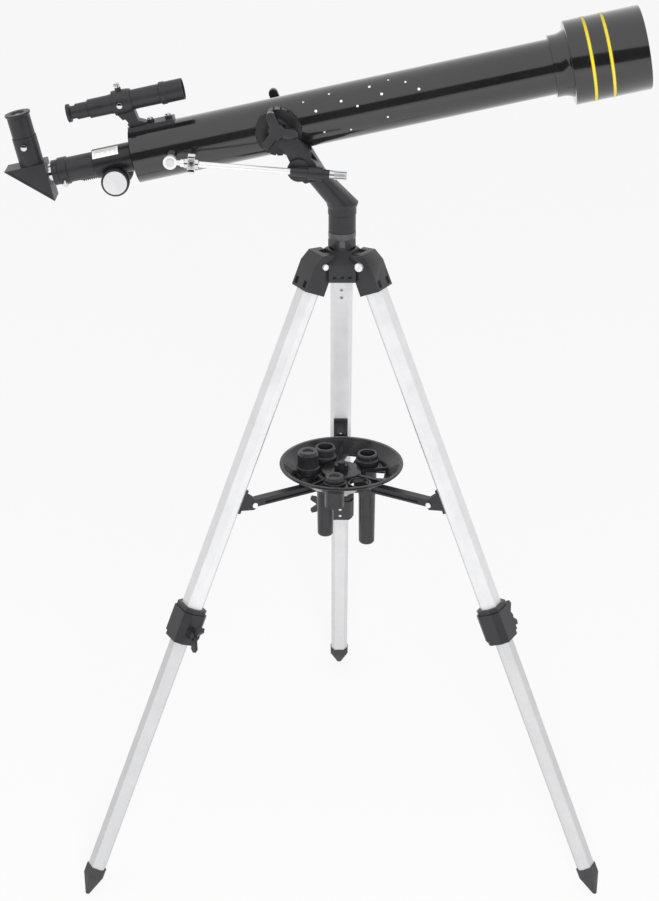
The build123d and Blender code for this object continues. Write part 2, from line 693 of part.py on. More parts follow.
with BuildPart() as drawtube:
    turned(
        scope, optical_axis,
        [(drawtube_rear, barrel_radius + fit), (drawtube_rear, 15), (drawtube_rear + 7, 15),
         (drawtube_rear + 8, 16.5), (drawtube_rear + 18, 16.5), (drawtube_rear + 19, drawtube_radius),
         (drawtube_front, drawtube_radius), (drawtube_front, drawtube_radius - 1.6),
         (drawtube_rear + 30, drawtube_radius - 1.6), (drawtube_rear + 30, barrel_radius + fit)],
    )
    rack_back_v = -drawtube_radius + 0.8
    rack_points = [(rack_front, rack_back_v), (rack_rear, rack_back_v), (rack_rear, rack_root_v)]
    # a pinion gap faces straight up, so a rack tooth stands over the pinion's centre
    first = int((rack_rear - pinion_u) / tooth_pitch) + 1
    last = int((rack_front - pinion_u) / tooth_pitch) - 1
    for index in range(first, last + 1):
        middle = pinion_u + index * tooth_pitch
        rack_points += [(middle - 0.9, rack_root_v), (middle - 0.35, rack_tip_v),
                        (middle + 0.35, rack_tip_v), (middle + 0.9, rack_root_v)]
    rack_points.append((rack_front, rack_root_v))
    extrude(outline(scope, rack_points), amount=3, both=True)
    cylinder(across(drawtube_rear - 1), barrel_radius + fit, 31, Mode.SUBTRACT)
    cylinder(across(drawtube_rear + 25), drawtube_radius - 1.6, 120, Mode.SUBTRACT)
    screw_angle = radians(-37)
    screw_dir = scope.z_dir * cos(screw_angle) + scope.y_dir * sin(screw_angle)
    drawtube_screw_plane = Plane(scope.from_local_coords((drawtube_rear + 13, 0, 0)), x_dir=scope.x_dir,
                                 z_dir=screw_dir)
    cylinder(drawtube_screw_plane, 1.5 + fit, 20, Mode.SUBTRACT)
export(drawtube, "drawtube")


def thumbscrew(plane, start, seat, head_radius):
    """Small chrome screw: shank from start to seat, knurled head beyond it."""
    cylinder(plane.offset(start), 1.5, seat - start + 1)
    cylinder(plane.offset(seat), head_radius, 5)


with BuildPart() as drawtube_screw:
    thumbscrew(drawtube_screw_plane, barrel_radius + gap, 16.5 + gap, 3.6)
export(drawtube_screw, "drawtube_screw")

with BuildPart() as focus_shaft:
    cylinder(pinion_plane.offset(-27), shaft_radius, 54)
    pinion_points = []
    for index in range(pinion_teeth):
        for radius, turn in ((pitch_radius - 1.2 * rack_module, -12), (pitch_radius + 0.85 * rack_module, -4),
                             (pitch_radius + 0.85 * rack_module, 4), (pitch_radius - 1.2 * rack_module, 12)):
            angle = radians(90 + (index + 0.5) * 360 / pinion_teeth + turn)
            pinion_points.append((radius * cos(angle), radius * sin(angle)))
    extrude(outline(pinion_plane, pinion_points), amount=3, both=True)
export(focus_shaft, "focus_shaft")

with BuildPart() as focus_knobs:
    for way in (-1, 1):
        knob_plane = Plane(pinion_plane.origin, x_dir=scope.x_dir, z_dir=(0, way, 0))
        cylinder(knob_plane.offset(18), focus_knob_radius, 13)
        cylinder(knob_plane.offset(13 + gap), 6, 6)
        cylinder(knob_plane.offset(30), focus_knob_radius - 2.6, 2, Mode.SUBTRACT)
        cylinder(knob_plane.offset(12), shaft_radius, 15, Mode.SUBTRACT)
export(focus_knobs, "focus_knobs")

# ---------------------------------------------------------------- star diagonal and eyepiece
corner_top = (diagonal_face, diagonal_top)
corner_rear = (diagonal_face - diagonal_length, diagonal_top)
corner_low = (diagonal_face, -diagonal_drop)
hypotenuse_angle = atan2(diagonal_top + diagonal_drop, diagonal_length)


def diagonal_triangle(inset):
    """The prism housing's triangle, inset evenly from its three sides."""
    reach_u = inset + inset * (1 + cos(hypotenuse_angle)) / sin(hypotenuse_angle)
    reach_v = inset + inset * (1 + sin(hypotenuse_angle)) / cos(hypotenuse_angle)
    return [
        (corner_top[0] - inset, corner_top[1] - inset),
        (corner_rear[0] + reach_u - inset, corner_rear[1] - inset),
        (corner_low[0] - inset, corner_low[1] + reach_v - inset),
    ]


with BuildPart() as star_diagonal:
    extrude(outline(scope, diagonal_triangle(0)), amount=diagonal_half_depth, both=True)
    for way in (-1, 1):
        recess = outline(scope.offset(way * diagonal_half_depth), diagonal_triangle(2.2))
        extrude(recess, amount=0.9, both=True, mode=Mode.SUBTRACT)
    cylinder(level(holder_u, diagonal_top - 2), holder_radius, holder_top - diagonal_top + 2)
    cylinder(across(diagonal_face - 2), barrel_radius, 34)
    extrude(outline(scope, diagonal_triangle(2.6)), amount=13, both=True, mode=Mode.SUBTRACT)
    cylinder(across(diagonal_face - 10), 10.6, 50, Mode.SUBTRACT)
    cylinder(level(holder_u, 10), barrel_radius + fit, 50, Mode.SUBTRACT)
    diagonal_screw_plane = Plane(scope.from_local_coords((holder_u, 41, 0)), x_dir=scope.x_dir,
                                 z_dir=(0, -1, 0))
    cylinder(diagonal_screw_plane, 1.5 + fit, 20, Mode.SUBTRACT)
export(star_diagonal, "star_diagonal")

with BuildPart() as diagonal_mirror:
    inner = diagonal_triangle(2.6 + fit)
    run = Vector(inner[1][0] - inner[2][0], inner[1][1] - inner[2][1])
    step = run.normalized()
    inward = Vector(-step.Y, step.X) * -1
    low = Vector(*inner[2]) + step * 4
    high = Vector(*inner[1]) - step * 4
    thickness = 2.0
    corners = [low, high, high + inward * thickness, low + inward * thickness]
    extrude(outline(scope, [(c.X, c.Y) for c in corners]), amount=12.8, both=True)
export(diagonal_mirror, "diagonal_mirror")

with BuildPart() as diagonal_screw:
    thumbscrew(diagonal_screw_plane, barrel_radius + gap, holder_radius + gap, 3.6)
export(diagonal_screw, "diagonal_screw")

with BuildPart() as eyepiece:
    eyepiece_axis = Axis(scope.from_local_coords((holder_u, 0, 0)), scope.y_dir)
    body = 13.8
    turned(
        scope, eyepiece_axis,
        [(holder_u, holder_top - 24), (holder_u - barrel_radius + 0.6, holder_top - 24),
         (holder_u - barrel_radius, holder_top - 23), (holder_u - barrel_radius, holder_top + gap),
         (holder_u - body, holder_top + gap), (holder_u - body, eyepiece_top - 4),
         (holder_u - 15.3, eyepiece_top - 2), (holder_u - 15.3, eyepiece_top),
         (holder_u - 9, eyepiece_top), (holder_u - 7, eyepiece_top - 3), (holder_u, eyepiece_top - 3)],
    )
export(eyepiece, "eyepiece")

# ---------------------------------------------------------------- finder
ring_rear = -185.0
ring_front = -163.0
finder_axis = Axis(scope.from_local_coords((0, finder_height, 0)), scope.x_dir)
finder_body = 11.6
tube_front_step = -168.0


def on_finder(points):
    """Moves half-section points (u, radius) out to the finder's axis."""
    return [(u, finder_height + r) for u, r in points]


with BuildPart() as finder_scope:
    turned(
        scope, finder_axis,
        on_finder([
            (-230.5, 6.2), (-230.5, 9.3), (-216, 9.3), (-215, 11.2), (-190, 11.2), (-189, finder_body),
            (-129, finder_body), (-128, 13.3), (-122.5, 13.3), (-121.5, 12.6), (finder_front, 12.6),
            (finder_front, 11.4), (-118, 11.4), (-118, 10.4), (-200, 10.4), (-200, 6.2),
        ]),
    )
export(finder_scope, "finder_scope")

with BuildPart() as finder_eyepiece:
    turned(
        scope, finder_axis,
        on_finder([
            (finder_rear, 3.5), (finder_rear, 10.8), (finder_rear + 3.5, 10.8), (finder_rear + 5, 7.7),
            (-230.5 - gap, 7.7), (-230.5 - gap, 6.2 - fit), (-204, 6.2 - fit), (-204, 4.4), (-236, 4.4),
            (-236, 3.5),
        ]),
    )
export(finder_eyepiece, "finder_eyepiece")

with BuildPart() as finder_bracket:
    turned(
        scope, finder_axis,
        on_finder([(ring_rear, finder_body + fit), (ring_rear, 14.6), (ring_rear + 8, 14.9),
                   (ring_front - 4, 14.2), (ring_front, 13.4), (ring_front, finder_body + fit)]),
    )
    # slanted stand
    stand = outline(
        scope,
        [(-186, finder_height - 8), (-187, 59), (-171, tube_radius + 1), (-146, tube_radius + 1),
         (-153, 38), (-161, 42), (-163, finder_height - 8)],
    )
    extrude(stand, amount=7, both=True)
    window = outline(scope, [(-179, 46), (-175.5, 46), (-172, 39.5), (-175.5, 39.5)])
    extrude(window, amount=10, both=True, mode=Mode.SUBTRACT)
    # saddle foot, curved to the tube
    with BuildSketch(across(-175)) as foot_shape:
        with Locations((tube_radius - 1, 0)):
            Rectangle(9, 24)
    extrude(foot_shape.sketch, amount=55)
    cylinder(across(-220), tube_radius + fit, 200, Mode.SUBTRACT)
    for station in (-147.6, -126):
        cylinder(level(station, tube_radius), 4.2, 6)
    cylinder(level(-176, finder_height + 10), 3.6, 7.5)
    # room for the finder's own tube, and the adjusting screw holes
    turned(
        scope, finder_axis,
        on_finder([(-240, 0), (-240, finder_body + fit), (-100, finder_body + fit), (-100, 0)]),
        Mode.SUBTRACT,
    )
    cylinder(level(-176, finder_height), 1.5 + fit, 30, Mode.SUBTRACT)
    side_screw_plane = Plane(scope.from_local_coords((-176, finder_height, 0)), x_dir=scope.x_dir,
                             z_dir=(0, -1, 0))
    cylinder(side_screw_plane, 1.5 + fit, 30, Mode.SUBTRACT)
export(finder_bracket, "finder_bracket")

with BuildPart() as finder_screws:
    thumbscrew(level(-176, finder_height), finder_body + fit, 17.5 + gap, 3.3)
    thumbscrew(side_screw_plane, finder_body + fit, 14.9 + gap, 3.3)
    hexagon(level(-147.6, tube_radius + 6), 3.4, 3)
    hexagon(level(-126, tube_radius + 6), 3.4, 3)
export(finder_screws, "finder_screws")

# ---------------------------------------------------------------- slow motion rod
rod_dx = swivel_x - rod_eye_x
rod_dz = swivel_z - rod_eye_z
rod_reach = hypot(rod_dx, rod_dz)
rod_direction = Vector(rod_dx / rod_reach, 0, rod_dz / rod_reach)
eye = Vector(rod_eye_x, -rod_near, rod_eye_z)
rod_plane = Plane(eye, x_dir=rod_direction, z_dir=(0, -1, 0))
rod_axis = Axis(eye, rod_direction)
rod_end = 206.0


def along_rod(distance):
    """Plane square to the rod at a distance from the eye."""
    return Plane(rod_plane.from_local_coords((distance, 0, 0)), x_dir=rod_plane.y_dir, z_dir=rod_plane.x_dir)


with BuildPart() as slow_motion_rod:
    cylinder(rod_plane.offset(-3.4), 8.1, 6.8)
    cylinder(along_rod(6), 3.0, 14)
    cylinder(along_rod(12), 4.6, 4)
    cylinder(along_rod(18), 2.4, 14)
    cylinder(along_rod(29.5), rod_radius, rod_end - 6 - 29.5)
    cylinder(rod_plane.offset(-10), 3.0 + fit, 20, Mode.SUBTRACT)
export(slow_motion_rod, "slow_motion_rod")

with BuildPart() as thumbwheel:
    with BuildSketch(along_rod(20 + gap)) as wheel:
        Circle(11.4)
        Circle(2.4 + fit, mode=Mode.SUBTRACT)
    extrude(wheel.sketch, amount=8.6)
export(thumbwheel, "thumbwheel")

with BuildPart() as rod_eye_bolt:
    eye_plane = Plane(Vector(rod_eye_x, 0, rod_eye_z), x_dir=scope.x_dir, z_dir=(0, -1, 0))
    cylinder(eye_plane.offset(tube_radius - 6), 7, rod_near - 3.4 - gap - tube_radius + 6)
    cylinder(across(-260), tube_radius + fit, 200, Mode.SUBTRACT)
    cylinder(eye_plane.offset(rod_near - 6), 3.0, 10)
    cylinder(eye_plane.offset(rod_near + 3.4 + gap), 4.6, 2.4)
export(rod_eye_bolt, "rod_eye_bolt")

# swivel: a disc against the fork arm, and a barrel that the rod slides through
disc_back = arm_outer + gap
with BuildPart() as swivel:
    swivel_front = Plane((swivel_x, 0, swivel_z), x_dir=rod_direction, z_dir=(0, -1, 0))
    cylinder(swivel_front.offset(disc_back), swivel_boss_radius, 3.2)
    cylinder(swivel_front.offset(arm_inner + 1), 4.0, disc_back - arm_inner)
    with BuildSketch(swivel_front.offset(disc_back)) as saddle_block:
        with Locations((12, 0)):
            Rectangle(26, 12)
    extrude(saddle_block.sketch, amount=rod_near - disc_back)
    cylinder(along_rod(rod_reach - 9.8), 5.25, 22)
    cylinder(along_rod(rod_reach + 11), 7.6, 17)
    cylinder(along_rod(rod_reach + 27), 5.4, 9)
    cylinder(along_rod(rod_reach - 20), rod_radius + fit, 70, Mode.SUBTRACT)
export(swivel, "swivel")

with BuildPart() as rod_clamp_nut:
    nut_start = rod_reach + 36 + gap
    with BuildSketch(along_rod(nut_start)) as nut:
        Circle(5.9)
        Circle(rod_radius + fit, mode=Mode.SUBTRACT)
    extrude(nut.sketch, amount=18)
export(rod_clamp_nut, "rod_clamp_nut")

print("splay", round(degrees(splay), 3), "leg length", round(leg_length, 2), "rod reach", round(rod_reach, 2))
print("pivot arm", round(arm_length, 2), "scope origin", axis_foot)
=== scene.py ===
# %% [markdown]
# # A small refractor on a folding tripod
# The solid parts come ready made, in metres. This lesson
# dresses them: finishes for enamel, moulded plastic, anodised aluminium, chrome, rubber and glass,
# and the fine pieces that are drawn best as meshes, such as knurls, stripes, dots and a scale label.

# %% Load the imported part
import json
import math
import random

import bmesh
import bpy
from mathutils import Matrix, Vector


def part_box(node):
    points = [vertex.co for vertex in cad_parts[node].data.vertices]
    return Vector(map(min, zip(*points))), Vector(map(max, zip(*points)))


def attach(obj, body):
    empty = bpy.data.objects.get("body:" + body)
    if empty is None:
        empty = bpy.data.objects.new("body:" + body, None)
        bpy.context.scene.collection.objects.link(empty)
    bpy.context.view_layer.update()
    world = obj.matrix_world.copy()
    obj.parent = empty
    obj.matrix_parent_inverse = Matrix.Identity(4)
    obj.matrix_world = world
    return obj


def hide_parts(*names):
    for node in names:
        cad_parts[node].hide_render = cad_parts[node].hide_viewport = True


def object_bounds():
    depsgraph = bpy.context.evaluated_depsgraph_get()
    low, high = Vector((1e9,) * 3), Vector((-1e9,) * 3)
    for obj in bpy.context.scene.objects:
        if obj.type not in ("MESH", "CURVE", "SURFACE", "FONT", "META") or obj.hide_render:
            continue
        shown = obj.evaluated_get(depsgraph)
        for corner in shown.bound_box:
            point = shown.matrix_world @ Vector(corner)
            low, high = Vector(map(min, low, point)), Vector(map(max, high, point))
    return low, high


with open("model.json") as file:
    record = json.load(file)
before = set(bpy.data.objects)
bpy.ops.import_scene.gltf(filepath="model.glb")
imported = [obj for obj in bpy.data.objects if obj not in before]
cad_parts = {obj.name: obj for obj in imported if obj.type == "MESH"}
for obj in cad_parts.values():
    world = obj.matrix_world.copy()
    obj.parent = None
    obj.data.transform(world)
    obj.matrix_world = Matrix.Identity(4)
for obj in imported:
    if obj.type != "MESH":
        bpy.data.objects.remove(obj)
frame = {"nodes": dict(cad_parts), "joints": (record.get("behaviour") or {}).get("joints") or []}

cad_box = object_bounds()
nodes = frame["nodes"]
joints = {joint["name"]: joint for joint in frame["joints"]}

# %% [markdown]
# ## Working planes
# Most of the fine pieces sit on the optical tube, which leans up by about twelve degrees. The joints
# already know its direction, so a frame is made from them: x runs forward along the tube, y is the
# tube's own up, and z points to the near side, where the focus knob is.

# %% Frames taken from the joints
forward = Vector(joints["dew_shield_slide"]["axis"]).normalized()
upward = Vector(joints["eyepiece_lift"]["axis"]).normalized()
near = Vector((0.0, -1.0, 0.0))
on_axis = Vector(joints["diagonal_turn"]["pos_m"])
pivot = Vector(joints["altitude"]["pos_m"])
scope_origin = on_axis + forward * (pivot - on_axis).dot(forward)


def frame_at(origin, x_dir, z_dir):
    """Matrix that carries local x and z to the given directions, at an origin."""
    x_dir = x_dir.normalized()
    z_dir = (z_dir - x_dir * z_dir.dot(x_dir)).normalized()
    turn = Matrix((x_dir, z_dir.cross(x_dir), z_dir)).transposed().to_4x4()
    return Matrix.Translation(origin) @ turn


scope_frame = frame_at(scope_origin, forward, near)


def on_scope(along, up, out):
    """Point given along the tube from the altitude pivot, above its axis, and out to the near side."""
    return scope_frame @ Vector((along, up, out))


def half_depth(node):
    """Half the front-to-back size of a solid, which is its radius if it is turned about the tube's axis."""
    low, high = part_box(node)
    return (high.y - low.y) / 2


def centre_of(node):
    """Middle of a solid's box."""
    low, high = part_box(node)
    return (Vector(low) + Vector(high)) / 2


tube_radius = half_depth("main_tube")
shield_radius = half_depth("dew_shield")
cell_neck = half_depth("lens_cell")


def span(node, direction, origin):
    """Lowest and highest distance of a solid's vertices along a direction from an origin."""
    reach = [(v.co - origin).dot(direction) for v in nodes[node].data.vertices]
    return min(reach), max(reach)


shield_span = span("dew_shield", forward, scope_origin)
cell_span = span("lens_cell", forward, scope_origin)
tube_span = span("main_tube", forward, scope_origin)
print("tube radius", round(tube_radius, 4), "tube span", [round(s, 4) for s in tube_span])
print("shield span", [round(s, 4) for s in shield_span])

# %% [markdown]
# ## Mesh helpers
# Round pieces are turned: a section is drawn with a few vertices and spun about the local x axis.
# Doubles are merged after the spin, which also closes the poles, and then the normals are made to
# point outwards. Shading is smooth, with sharp edges kept where faces meet at a clear angle.

# %% Turning a section into a solid
def finish_piece(mesh, name, material, body, sharp=30.0):
    """Makes an object of a bmesh, smooth but for its sharp edges, and lets it ride on a body."""
    bmesh.ops.remove_doubles(mesh, verts=mesh.verts, dist=1e-7)
    bmesh.ops.recalc_face_normals(mesh, faces=mesh.faces)
    for face in mesh.faces:
        face.smooth = True
    data = bpy.data.meshes.new(name)
    mesh.to_mesh(data)
    mesh.free()
    data.set_sharp_from_angle(angle=math.radians(sharp))
    data.materials.append(material)
    piece = bpy.data.objects.new(name, data)
    bpy.context.scene.collection.objects.link(piece)
    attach(piece, body)
    print(name, len(data.vertices), "vertices on", body)
    return piece


def spun(section, place, steps=96, angle=2 * math.pi):
    """Bmesh of a closed section of (along, radius) points spun about local x, then placed."""
    mesh = bmesh.new()
    ring = [mesh.verts.new((along, 0.0, radius)) for along, radius in section]
    loop = [mesh.edges.new(pair) for pair in zip(ring, ring[1:] + ring[:1])]
    whole = angle > 2 * math.pi - 1e-6
    if not whole:
        mesh.faces.new(ring)
        loop = loop + list(mesh.faces)
    bmesh.ops.spin(mesh, geom=ring + loop, cent=(0, 0, 0), axis=(1, 0, 0), dvec=(0, 0, 0),
                   angle=angle, steps=steps, use_merge=whole, use_duplicate=False)
    bmesh.ops.transform(mesh, matrix=place, verts=mesh.verts)
    return mesh


def softened(mesh, width, segments=2, angle=40.0):
    """Rounds the edges of a bmesh that are sharper than an angle."""
    bmesh.ops.remove_doubles(mesh, verts=mesh.verts, dist=1e-7)
    edges = [e for e in mesh.edges if len(e.link_faces) == 2 and e.calc_face_angle() > math.radians(angle)]
    bmesh.ops.bevel(mesh, geom=edges, offset=width, offset_type="OFFSET", segments=segments,
                    profile=0.5, affect="EDGES", material=-1, clamp_overlap=True)
    return mesh


# %% [markdown]
# A knurled grip is a short gear: a circle whose every other vertex is pulled inwards, extruded, with
# its rims rounded a little. It is used for the focus knobs, the thumbwheel and the small screws.

# %% Knurled grips
def knurled(radius, depth, teeth, groove, place, round_off=0.0004):
    """Bmesh of a knurled disc that stands on the place's plane and rises along its z axis."""
    mesh = bmesh.new()
    made = bmesh.ops.create_circle(mesh, cap_ends=True, segments=teeth * 2, radius=radius)
    for index, vert in enumerate(made["verts"]):
        if index % 2:
            vert.co *= (radius - groove) / radius
    rise = bmesh.ops.extrude_face_region(mesh, geom=list(mesh.faces))
    top = [v for v in rise["geom"] if isinstance(v, bmesh.types.BMVert)]
    bmesh.ops.translate(mesh, verts=top, vec=(0, 0, depth))
    rims = [e for e in mesh.edges if len(e.link_faces) == 2 and abs(e.verts[0].co.z - e.verts[1].co.z) < 1e-9]
    bmesh.ops.bevel(mesh, geom=rims, offset=round_off, offset_type="OFFSET", segments=2, profile=0.5,
                    affect="EDGES", material=-1, clamp_overlap=True)
    bmesh.ops.transform(mesh, matrix=place, verts=mesh.verts)
    return mesh


def axle_frame(point, direction):
    """Frame whose local z runs along a direction."""
    helper = forward if abs(direction.normalized().dot(forward)) < 0.9 else upward
    return frame_at(point, direction.cross(helper), direction)


# %% [markdown]
# ## Shared effects
# Every finish has some of the same things on it: a fine moulded or sprayed grain, and faint smudges
# from handling that change how sharply it shines. Both are node groups, so each material places them
# with its own sizes. They give out only values and normals; the shader stays in the material.

# %% Node groups
def new_group(name, inputs, outputs):
    """A shader node group with float, colour or vector sockets and their default values."""
    group = bpy.data.node_groups.new(name, "ShaderNodeTree")
    for label, kind, value in inputs:
        socket = group.interface.new_socket(name=label, in_out="INPUT", socket_type=kind)
        if value is not None:
            socket.default_value = value
    for label, kind in outputs:
        group.interface.new_socket(name=label, in_out="OUTPUT", socket_type=kind)
    enter = group.nodes.new("NodeGroupInput")
    leave = group.nodes.new("NodeGroupOutput")
    return group, enter, leave


def grain_group():
    """Fine surface grain: a normal, and a mask of its high spots."""
    group, enter, leave = new_group(
        "fine_grain",
        [("Scale", "NodeSocketFloat", 2500.0), ("Strength", "NodeSocketFloat", 0.1),
         ("Depth", "NodeSocketFloat", 0.00005)],
        [("Normal", "NodeSocketVector"), ("Mask", "NodeSocketFloat")])
    links = group.links
    where = group.nodes.new("ShaderNodeTexCoord")
    noise = group.nodes.new("ShaderNodeTexNoise")
    noise.inputs["Detail"].default_value = 3.0
    bump = group.nodes.new("ShaderNodeBump")
    links.new(where.outputs["Object"], noise.inputs["Vector"])
    links.new(enter.outputs["Scale"], noise.inputs["Scale"])
    links.new(noise.outputs["Fac"], bump.inputs["Height"])
    links.new(enter.outputs["Strength"], bump.inputs["Strength"])
    links.new(enter.outputs["Depth"], bump.inputs["Distance"])
    links.new(bump.outputs["Normal"], leave.inputs["Normal"])
    links.new(noise.outputs["Fac"], leave.inputs["Mask"])
    return group


def handling_group():
    """Soft smudges: a roughness that wanders between two values."""
    group, enter, leave = new_group(
        "handling_marks",
        [("Scale", "NodeSocketFloat", 30.0), ("Low", "NodeSocketFloat", 0.2), ("High", "NodeSocketFloat", 0.3)],
        [("Roughness", "NodeSocketFloat"), ("Mask", "NodeSocketFloat")])
    links = group.links
    where = group.nodes.new("ShaderNodeTexCoord")
    noise = group.nodes.new("ShaderNodeTexNoise")
    noise.inputs["Detail"].default_value = 5.0
    noise.inputs["Roughness"].default_value = 0.6
    spread = group.nodes.new("ShaderNodeMapRange")
    spread.inputs["From Min"].default_value = 0.3
    spread.inputs["From Max"].default_value = 0.7
    links.new(where.outputs["Object"], noise.inputs["Vector"])
    links.new(enter.outputs["Scale"], noise.inputs["Scale"])
    links.new(noise.outputs["Fac"], spread.inputs["Value"])
    links.new(enter.outputs["Low"], spread.inputs["To Min"])
    links.new(enter.outputs["High"], spread.inputs["To Max"])
    links.new(spread.outputs["Result"], leave.inputs["Roughness"])
    links.new(noise.outputs["Fac"], leave.inputs["Mask"])
    return group


fine_grain = grain_group()
handling_marks = handling_group()
print("groups", fine_grain.name, handling_marks.name)

# %% [markdown]
# ## Finishes
# A finish helper starts each material: a Principled shader, a colour that varies slightly through a
# ramp, the smudged roughness and the grain's normal. What stays the same all over, such as metallic
# or coat, is set on the shader's own sockets.

# %% A helper for finishes
def finish(name, dark, light, low, high, grain_scale, grain_strength, smudge=30.0, **fixed):
    """A procedural finish between two colours and two roughnesses, with grain."""
    material = bpy.data.materials.new(name)
    material.use_nodes = True
    tree = material.node_tree
    shader = tree.nodes["Principled BSDF"]
    marks = tree.nodes.new("ShaderNodeGroup")
    marks.node_tree = handling_marks
    marks.inputs["Scale"].default_value = smudge
    marks.inputs["Low"].default_value = low
    marks.inputs["High"].default_value = high
    grain = tree.nodes.new("ShaderNodeGroup")
    grain.node_tree = fine_grain
    grain.inputs["Scale"].default_value = grain_scale
    grain.inputs["Strength"].default_value = grain_strength
    ramp = tree.nodes.new("ShaderNodeValToRGB")
    ramp.color_ramp.elements[0].position = 0.35
    ramp.color_ramp.elements[0].color = (*dark, 1.0)
    ramp.color_ramp.elements[1].position = 0.65
    ramp.color_ramp.elements[1].color = (*light, 1.0)
    tree.links.new(marks.outputs["Mask"], ramp.inputs["Fac"])
    tree.links.new(ramp.outputs["Color"], shader.inputs["Base Color"])
    tree.links.new(marks.outputs["Roughness"], shader.inputs["Roughness"])
    tree.links.new(grain.outputs["Normal"], shader.inputs["Normal"])
    for label, value in fixed.items():
        shader.inputs[label.replace("_", " ")].default_value = value
    print("finish", name)
    return material


enamel = finish("black_enamel", (0.008, 0.0075, 0.008), (0.011, 0.0105, 0.011), 0.16, 0.22, 900, 0.02,
                smudge=12.0, Coat_Weight=0.9, Coat_Roughness=0.07)
housing_black = finish("satin_black_housing", (0.010, 0.010, 0.011), (0.016, 0.016, 0.017), 0.26, 0.36, 2600, 0.15)
knob_black = finish("polished_knob_plastic", (0.012, 0.012, 0.013), (0.02, 0.02, 0.022), 0.16, 0.28, 1800, 0.08)
# A lighter grey plastic than the rest, used for the neck's ring and ribs.
lighter_grey = finish("lighter_grey_plastic", (0.045, 0.045, 0.048), (0.075, 0.075, 0.078), 0.22, 0.34, 2200, 0.12)
flocking = finish("matt_flocking", (0.006, 0.006, 0.006), (0.010, 0.010, 0.010), 0.85, 0.95, 3200, 0.5)
olive = finish("thin_paint_edge", (0.16, 0.14, 0.01), (0.2, 0.17, 0.015), 0.25, 0.35, 900, 0.02)
label_white = finish("label_paper", (0.78, 0.78, 0.77), (0.84, 0.84, 0.83), 0.45, 0.55, 1500, 0.1)
print_grey = finish("label_print", (0.16, 0.16, 0.17), (0.24, 0.24, 0.25), 0.45, 0.55, 1500, 0.1)
brushed_face = finish("brushed_knob_face", (0.62, 0.62, 0.63), (0.72, 0.72, 0.73), 0.34, 0.46, 1800, 0.2,
                      Metallic=0.45)
plastic = finish("moulded_black_plastic", (0.014, 0.014, 0.016), (0.022, 0.022, 0.024), 0.34, 0.46, 2600, 0.25)
tray_black = finish("polished_tray_plastic", (0.012, 0.012, 0.013), (0.018, 0.018, 0.02), 0.14, 0.24, 1500, 0.05)
rubber = finish("boot_rubber", (0.03, 0.03, 0.032), (0.05, 0.05, 0.052), 0.55, 0.7, 2200, 0.4)
steel = finish("turned_steel", (0.5, 0.5, 0.5), (0.6, 0.6, 0.6), 0.25, 0.35, 1800, 0.1, Metallic=1.0)
dark_steel = finish("blackened_steel", (0.03, 0.03, 0.032), (0.05, 0.05, 0.052), 0.3, 0.4, 1800, 0.1,
                    Metallic=0.6)
chrome = finish("bright_chrome", (0.72, 0.73, 0.74), (0.8, 0.8, 0.81), 0.05, 0.12, 700, 0.02, Metallic=1.0)
barrel_black = finish("anodised_black", (0.016, 0.016, 0.018), (0.026, 0.026, 0.028), 0.22, 0.34, 2400, 0.1)
bright_zinc = finish("bright_zinc", (0.80, 0.80, 0.80), (0.86, 0.86, 0.86), 0.30, 0.40, 1400, 0.05,
                     Metallic=0.55)
mirror = finish("silvered_mirror", (0.85, 0.85, 0.86), (0.9, 0.9, 0.9), 0.01, 0.03, 400, 0.0, Metallic=1.0)
yellow = finish("yellow_enamel", (0.62, 0.5, 0.03), (0.7, 0.56, 0.04), 0.2, 0.3, 900, 0.02)
star_white = finish("white_print", (0.75, 0.75, 0.75), (0.85, 0.85, 0.85), 0.3, 0.4, 900, 0.02)

# %% [markdown]
# The legs are drawn aluminium with a satin anodised skin. Drawing leaves faint lines along the tube,
# so their noise is stretched along each leg by a Mapping node before it reaches the bump. The lower
# sections take darker copies of the same finish, a painted shade for how the light falls on them.

# %% Anodised aluminium with draw lines
def drawn_aluminium(name, direction, shade):
    """Satin aluminium whose fine lines run along a direction, its colours darkened by a factor as painted shade."""
    colours = [[part * shade for part in colour] for colour in ((0.66, 0.66, 0.67), (0.71, 0.71, 0.72))]
    material = finish(name, *colours, 0.36, 0.44, 1500, 0.05, Metallic=0.30)
    tree = material.node_tree
    shader = tree.nodes["Principled BSDF"]
    where = tree.nodes.new("ShaderNodeTexCoord")
    turn = tree.nodes.new("ShaderNodeMapping")
    turn.vector_type = "TEXTURE"
    turn.inputs["Rotation"].default_value = direction.to_track_quat("Z", "Y").to_euler()
    squeeze = tree.nodes.new("ShaderNodeMapping")
    squeeze.inputs["Scale"].default_value = (2600.0, 2600.0, 12.0)
    noise = tree.nodes.new("ShaderNodeTexNoise")
    noise.inputs["Scale"].default_value = 1.0
    noise.inputs["Detail"].default_value = 4.0
    bump = tree.nodes.new("ShaderNodeBump")
    bump.inputs["Strength"].default_value = 0.12
    bump.inputs["Distance"].default_value = 0.00003
    tree.links.new(where.outputs["Object"], turn.inputs["Vector"])
    tree.links.new(turn.outputs["Vector"], squeeze.inputs["Vector"])
    tree.links.new(squeeze.outputs["Vector"], noise.inputs["Vector"])
    tree.links.new(noise.outputs["Fac"], bump.inputs["Height"])
    tree.links.new(bump.outputs["Normal"], shader.inputs["Normal"])
    return material


leg_names = ("left", "right", "back")
leg_lines = {}
lower_legs_painted_shade = {}
for leg in leg_names:
    leg_direction = Vector(joints[f"leg_extend_{leg}"]["axis"])
    leg_lines[leg] = drawn_aluminium(f"leg_aluminium_{leg}", leg_direction, 1.0)
    # Painted shade: the lower sections' copies are darkened to 0.82 on the left and right legs and 0.97 on the back
    # leg.
    lower_legs_painted_shade[leg] = drawn_aluminium(f"painted_shade_aluminium_{leg}", leg_direction, 0.97 if leg == "back" else 0.82)

# %% [markdown]
# The objective is coated glass: clear, with a faint green and violet sheen that changes with angle.

